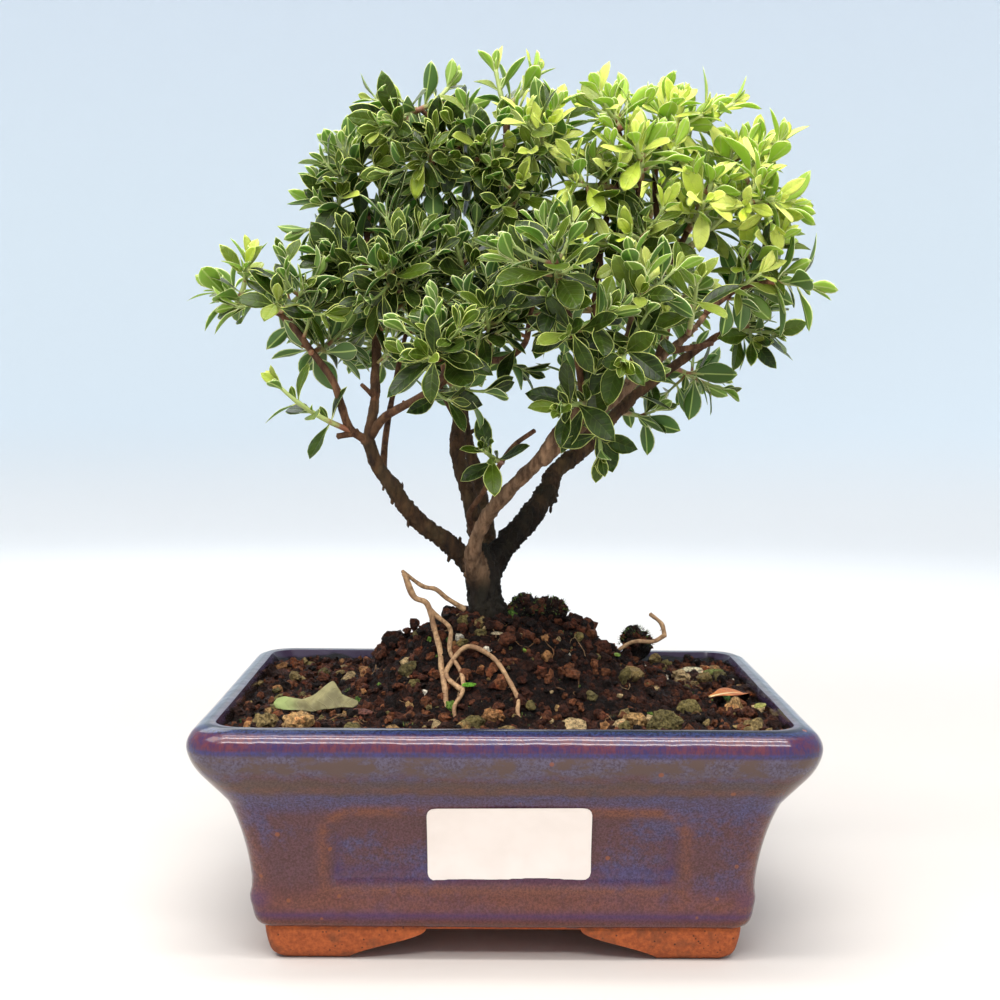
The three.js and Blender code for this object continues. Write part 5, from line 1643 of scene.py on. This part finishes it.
def add_stem(surface, curve, reach, spacing, youth, girth):
    """The stem, which swells where its leaves stand."""
    radii = []
    for t in STEM_PLACES:
        behind = (1 - t) * reach - END_PAIR
        near = abs((behind / spacing + 0.5) % 1 - 0.5) * spacing
        swell = 0.16 * hump(near, 0, 0.5) if behind > -1 else 0.0
        radii.append((girth + 0.45 * max(youth - 0.3, 0)) * (1 - 0.42 * t) + swell)
    vertices, faces = tube([on_stem(curve, t) for t in STEM_PLACES], radii, STEM_SIDES)
    far = np.concatenate([np.repeat(STEM_PLACES, STEM_SIDES), [0, 1]])
    tone = np.column_stack([far, np.full(len(far), youth), np.ones(len(far))])
    surface.add(vertices, faces, 2, blade=(0, 0, 0), tone=tone)


def leaf_top_material():
    """Dark old leaves to yellow young ones, with painted shade and light in the tone, a pale
    margin, rib and veins.
    """
    look = Shader("leaf_upper", Roughness=0.33, Specular_IOR_Level=0.24, Subsurface_Weight=0.1,
                  Subsurface_Scale=0.0008, Subsurface_Radius=LEAF_SCATTER)
    edge, middle, along = look.trait("blade")
    tone, chance, _ = look.trait("tone")
    colour = look.mix(look.ramp(tone, 0.05, 0.46), look.tones(chance, (22, 32, 3), (36, 48, 5)),
                      look.tones(chance, (44, 60, 4), (80, 98, 7)))
    fresh = look.tones(chance, (184, 202, 60), (228, 234, 124))
    colour = look.over(colour, look.ramp(tone, 0.34, 0.75), fresh)
    colour = look.over(colour, look.ramp(look.noise(2.2, 3), 0.35, 0.7), (96, 128, 50), 0.15)
    ribs = look.ribs(middle, along, 0.95, 0.95)
    colour = look.over(colour, look.ramp(ribs, 0.16, 0.04), (128, 150, 50), 0.12)
    rib = look.times(look.ramp(middle, 0.17, 0.06), look.ramp(along, 7, 1.5, 0.05, 0.4))
    colour = look.over(colour, rib, (160, 182, 84))
    margin = look.ramp(look.ragged(edge, 1.6, 3, 0.5), 1.25, 0.75)
    look.colour(look.over(colour, margin, (210, 220, 122)))
    look.bump((look.ramp(middle, 0.05, 0.4), 0.06), (look.ramp(ribs, 0.0, 0.3), 0.035),
              (look.noise(0.7, 2), 0.03))
    return look.material


def leaf_under_material():
    look = Shader("leaf_lower", Roughness=0.55, Subsurface_Weight=0.18,
                  Subsurface_Scale=0.0009, Subsurface_Radius=LEAF_SCATTER)
    edge, middle, _ = look.trait("blade")
    tone = look.trait("tone")[0]
    colour = look.tones(look.ramp(tone, 0.1, 0.8), (76, 104, 46), (156, 186, 66))
    colour = look.over(colour, look.ramp(middle, 0.28, 0.1), (168, 188, 104))
    look.colour(look.over(colour, look.ramp(edge, 1.2, 0.8), (222, 230, 164)))
    look.bump((look.ramp(middle, 0.4, 0.05), 0.1), (look.noise(0.8, 3), 0.03))
    return look.material


def stem_material():
    """Brown at the foot of a stem, green towards its end."""
    look = Shader("young_stem", Roughness=0.5)
    far, youth, _ = look.trait("tone")
    green = look.tones(youth, (146, 164, 88), (202, 212, 140))
    brown = srgb(138, 88, 62)
    colour = look.mix(look.ramp(look.ragged(far, 2.2, 4, 0.3), 0.05, 0.42), brown, green)
    flecks = look.ramp(look.noise(0.9, 4, 0.7), 0.6, 0.72)
    look.colour(look.over(colour, flecks, (156, 92, 62), 0.5))
    look.bump((look.noise(0.7, 4), 0.08))
    return look.material


def build_foliage():
    materials = [leaf_top_material(), leaf_under_material(), stem_material()]
    hosts = {}
    for number, name in enumerate(SHOOTS, 1):
        add_shoot(hosts.setdefault(host_of(name), Surface()), name, number)
    add_limb_sprigs(hosts)
    for host, surface in hosts.items():
        install(surface.build("foliage_" + host, materials), "leaf", "leaves_" + host)


# ---------------------------------------------------------------- fallen leaves
# The left one is folded: at each share of its length, how far its lower and its upper edge stand
# off its base line, as shares of its length too.
FOLD = [
    (0, 0.05, 0.09), (0.03, 0.0, 0.14), (0.12, -0.02, 0.17), (0.33, -0.01, 0.14), (0.5, 0.0, 0.26),
    (0.69, 0.01, 0.37), (0.8, 0.03, 0.21), (0.94, 0.01, 0.15), (1, 0.06, 0.11),
]
LEFT_PLACE = (-60, -26)
LEFT_SHIFT = np.array([1.2, -2.5, 1.0])
LEFT_LENGTH = 21.5
LEFT_TILT = 0.8
RIGHT_PLACE = (54, -16)
RIGHT_HEADING = 0.7
RIGHT_LENGTH = 18
RIGHT_WIDTH = 0.4 * RIGHT_LENGTH
RIGHT_TILT = 0.5


def tilted_up(tilt):
    return np.array([0, -math.sin(tilt), math.cos(tilt)])


def left_leaf():
    """A dry leaf with a fold across it, as a flat closed tube through its edges."""
    x, y = LEFT_PLACE
    start = np.array([x, y, ground(x, y)]) + LEFT_SHIFT
    direction, face = np.array([1.0, 0.0, 0.0]), tilted_up(LEFT_TILT)
    across = np.cross(face, direction)
    shares, lows, highs = np.array(FOLD).T
    rows, columns = 41, 24
    rings, traits = [], []
    for share in np.linspace(0, 1, rows):
        low, high = np.interp(share, shares, lows), np.interp(share, shares, highs)
        for angle in turns(columns):
            over = 0.5 - 0.5 * math.cos(angle)
            crumple = noise.noise(Vector((share * 4, over * 1.5, 3.3)))
            relief = (1.3 * over * hump(share, 0.69, 0.1) - 1.1 * hump(share, 0.46, 0.09)
                      + 0.9 * crumple)
            rings.append(start + direction * share * LEFT_LENGTH
                         + across * (low + (high - low) * over) * LEFT_LENGTH
                         + face * (relief - 0.17 * math.sin(angle)))
            middle = abs(over - 0.5) * (high - low) * LEFT_LENGTH
            traits.append((1.5, 0.5 + middle, share * LEFT_LENGTH))
    leaf = Surface()
    leaf.add(rings, capped_loft(rows, columns), blade=traits)
    return leaf


def right_leaf():
    """A dry leaf propped on one edge, with its end in the air."""
    x, y = RIGHT_PLACE
    propped = 0.9 + 0.4 * RIGHT_WIDTH * math.sin(RIGHT_TILT)
    end_x = x + RIGHT_LENGTH * math.cos(RIGHT_HEADING)
    end_y = y + RIGHT_LENGTH * math.sin(RIGHT_HEADING)
    start = np.array([x, y, ground(x, y) + propped])
    end = np.array([end_x, end_y, ground(end_x, end_y) + propped + BLADE_ARCH * RIGHT_LENGTH])
    direction = unit(end - start)
    up = tilted_up(RIGHT_TILT)
    face = unit(up - direction * (direction @ up))
    leaf = Surface()
    add_blade(leaf, start, direction, face, RIGHT_LENGTH, RIGHT_WIDTH, 0.5, random.Random(77))
    return leaf


def dry_skin(node, light, dark, green_tip):
    look = Shader(node + "_skin", Roughness=0.7)
    _, middle, along = look.trait("blade")
    colour = look.tones(look.ramp(look.noise(4, 4), 0.35, 0.65), dark, light)
    ribs = look.ramp(look.ribs(middle, along, 0.9, 1.3), 0.15, 0.02)
    colour = look.over(colour, ribs, (206, 196, 146), 0.16)
    if green_tip:
        colour = look.over(colour, look.ramp(along, 7.5, 2.5, 0, 0.8), (126, 142, 76))
    look.colour(look.over(colour, look.ramp(middle, 0.35, 0.15), (208, 190, 140)))
    look.bump((look.noise(2.5, 4), 0.3), (look.ramp(ribs, 0, 1), 0.1))
    return look.material


def build_fallen():
    for node, leaf, light, dark, green_tip in (
            ("fallen_leaf_left", left_leaf(), (136, 128, 84), (100, 92, 56), True),
            ("fallen_leaf_right", right_leaf(), (196, 118, 52), (150, 80, 38), False)):
        skin = dry_skin(node, light, dark, green_tip)
        install(leaf.build(node + "_blade", [skin, skin]), "dry_leaf", node)


# ---------------------------------------------------------------- stage, lights and camera
FLOOR_RADIUS = 1100
BEND_RADIUS = 700
WALL_LEVELS = (1400, 2200)
STAGE_SIDES = 96
FLOOR_RINGS = 6
BEND_RINGS = 12
# Lights: place, what it is aimed at, size, power and colour.
LIGHTS = {
    "strip_high": ((0, -420, 1000), (0, 0, 100), (760, 90), 5.6, (1.0, 0.985, 0.97)),
    "strip_low": ((40, -700, 720), (0, 0, 90), (760, 60), 3.2, (1.0, 0.97, 0.96)),
    "softbox": ((0, -600, 850), (0, 0, 90), (900, 420), 3.2, (1.0, 0.985, 0.97)),
    "key": ((-560, -300, 900), (0, 0, 120), (500, 400), 3.4, (1.0, 0.985, 0.96)),
    "strip_top": ((0, -130, 1000), (0, -60, 60), (720, 130), 3.0, (1.0, 0.98, 0.98)),
    "top": ((60, 80, 1100), (0, 0, 100), (1000, 800), 3, (1, 1, 1)),
    "rear": ((-300, 800, 800), (0, 0, 120), (800, 400), 2.5, (1, 1, 1)),
}
AIR_COLOUR = (0.93, 0.96, 1.0, 1)
AIR_STRENGTH = 0.45
FOCAL_PIXELS = 1560
IMAGE_PIXELS = 1000
SENSOR = 36
CAMERA_PLACE = (-4.957, -421.440, 138.859)
CAMERA_YAW = 0.00872
CAMERA_PITCH = 0.06598
CAMERA_ROLL = 0.00798


def build_stage():
    """A round floor that curves up into a wall, so that it looks alike from every side."""
    profile = [(FLOOR_RADIUS * k / FLOOR_RINGS, 0) for k in range(1, FLOOR_RINGS + 1)]
    for k in range(1, BEND_RINGS + 1):
        angle = k / BEND_RINGS * math.pi / 2
        profile.append((FLOOR_RADIUS + BEND_RADIUS * math.sin(angle),
                        BEND_RADIUS * (1 - math.cos(angle))))
    profile += [(FLOOR_RADIUS + BEND_RADIUS, level) for level in WALL_LEVELS]
    vertices = [(radius * math.cos(angle), radius * math.sin(angle), height)
                for radius, height in profile for angle in turns(STAGE_SIDES)]
    faces = flipped(loft_faces(len(profile), STAGE_SIDES)) + [tuple(range(STAGE_SIDES))]
    look = Shader("studio_paper", Roughness=0.9)
    x, y, z = look.split(look.place())
    away = look.math("ADD", look.math("POWER", x, 2), look.math("POWER", y, 2))
    paper = look.tones(look.ramp(look.math("SQRT", away, 0), 250, 900), (205, 198, 191),
                       (244, 244, 243))
    paper = look.over(paper, look.ramp(z, 0, 120), (236, 246, 252))
    look.colour(look.over(paper, look.ramp(z, 300, 900), (232, 240, 249)))
    floor = Surface()
    floor.add(vertices, faces)
    floor.build("studio_floor", [look.material])


def build_lights():
    for name, (place, target, size, power, colour) in LIGHTS.items():
        data = bpy.data.lights.new(name, "AREA")
        data.shape = "RECTANGLE"
        data.size, data.size_y = size[0] * MM, size[1] * MM
        data.energy = power
        data.color = colour
        light = add_to_scene(name, data)
        light.location = Vector(place) * MM
        aim = (Vector(target) - Vector(place)).to_track_quat("-Z", "Y")
        light.rotation_euler = aim.to_euler()
    world = bpy.data.worlds.new("studio_air")
    bpy.context.scene.world = world
    world.use_nodes = True
    air = world.node_tree.nodes["Background"]
    air.inputs["Color"].default_value = AIR_COLOUR
    air.inputs["Strength"].default_value = AIR_STRENGTH


def build_camera():
    """The photo's camera, from its place, its three angles and its focal length."""
    level = Vector((math.sin(CAMERA_YAW), math.cos(CAMERA_YAW), 0))
    right = Vector((math.cos(CAMERA_YAW), -math.sin(CAMERA_YAW), 0))
    up = Vector((0, 0, 1))
    forward = level * math.cos(CAMERA_PITCH) - up * math.sin(CAMERA_PITCH)
    above = up * math.cos(CAMERA_PITCH) + level * math.sin(CAMERA_PITCH)
    rolled = right * math.cos(CAMERA_ROLL) + above * math.sin(CAMERA_ROLL)
    top = above * math.cos(CAMERA_ROLL) - right * math.sin(CAMERA_ROLL)
    data = bpy.data.cameras.new("camera")
    data.sensor_width = SENSOR
    data.lens = FOCAL_PIXELS * SENSOR / IMAGE_PIXELS
    camera = add_to_scene("camera", data)
    turn = Matrix((rolled, top, -forward)).transposed().to_4x4()
    place = Vector(CAMERA_PLACE) * MM + Vector(POT_CENTRE)
    camera.matrix_world = Matrix.Translation(place) @ turn
    bpy.context.scene.camera = camera


bpy.context.scene.view_settings.view_transform = "Standard"
build_camera()
build_stage()
build_lights()
build_pot()
build_label()
dress_screens()
build_soil()
build_wood()
build_roots()
build_fallen()
build_foliage()
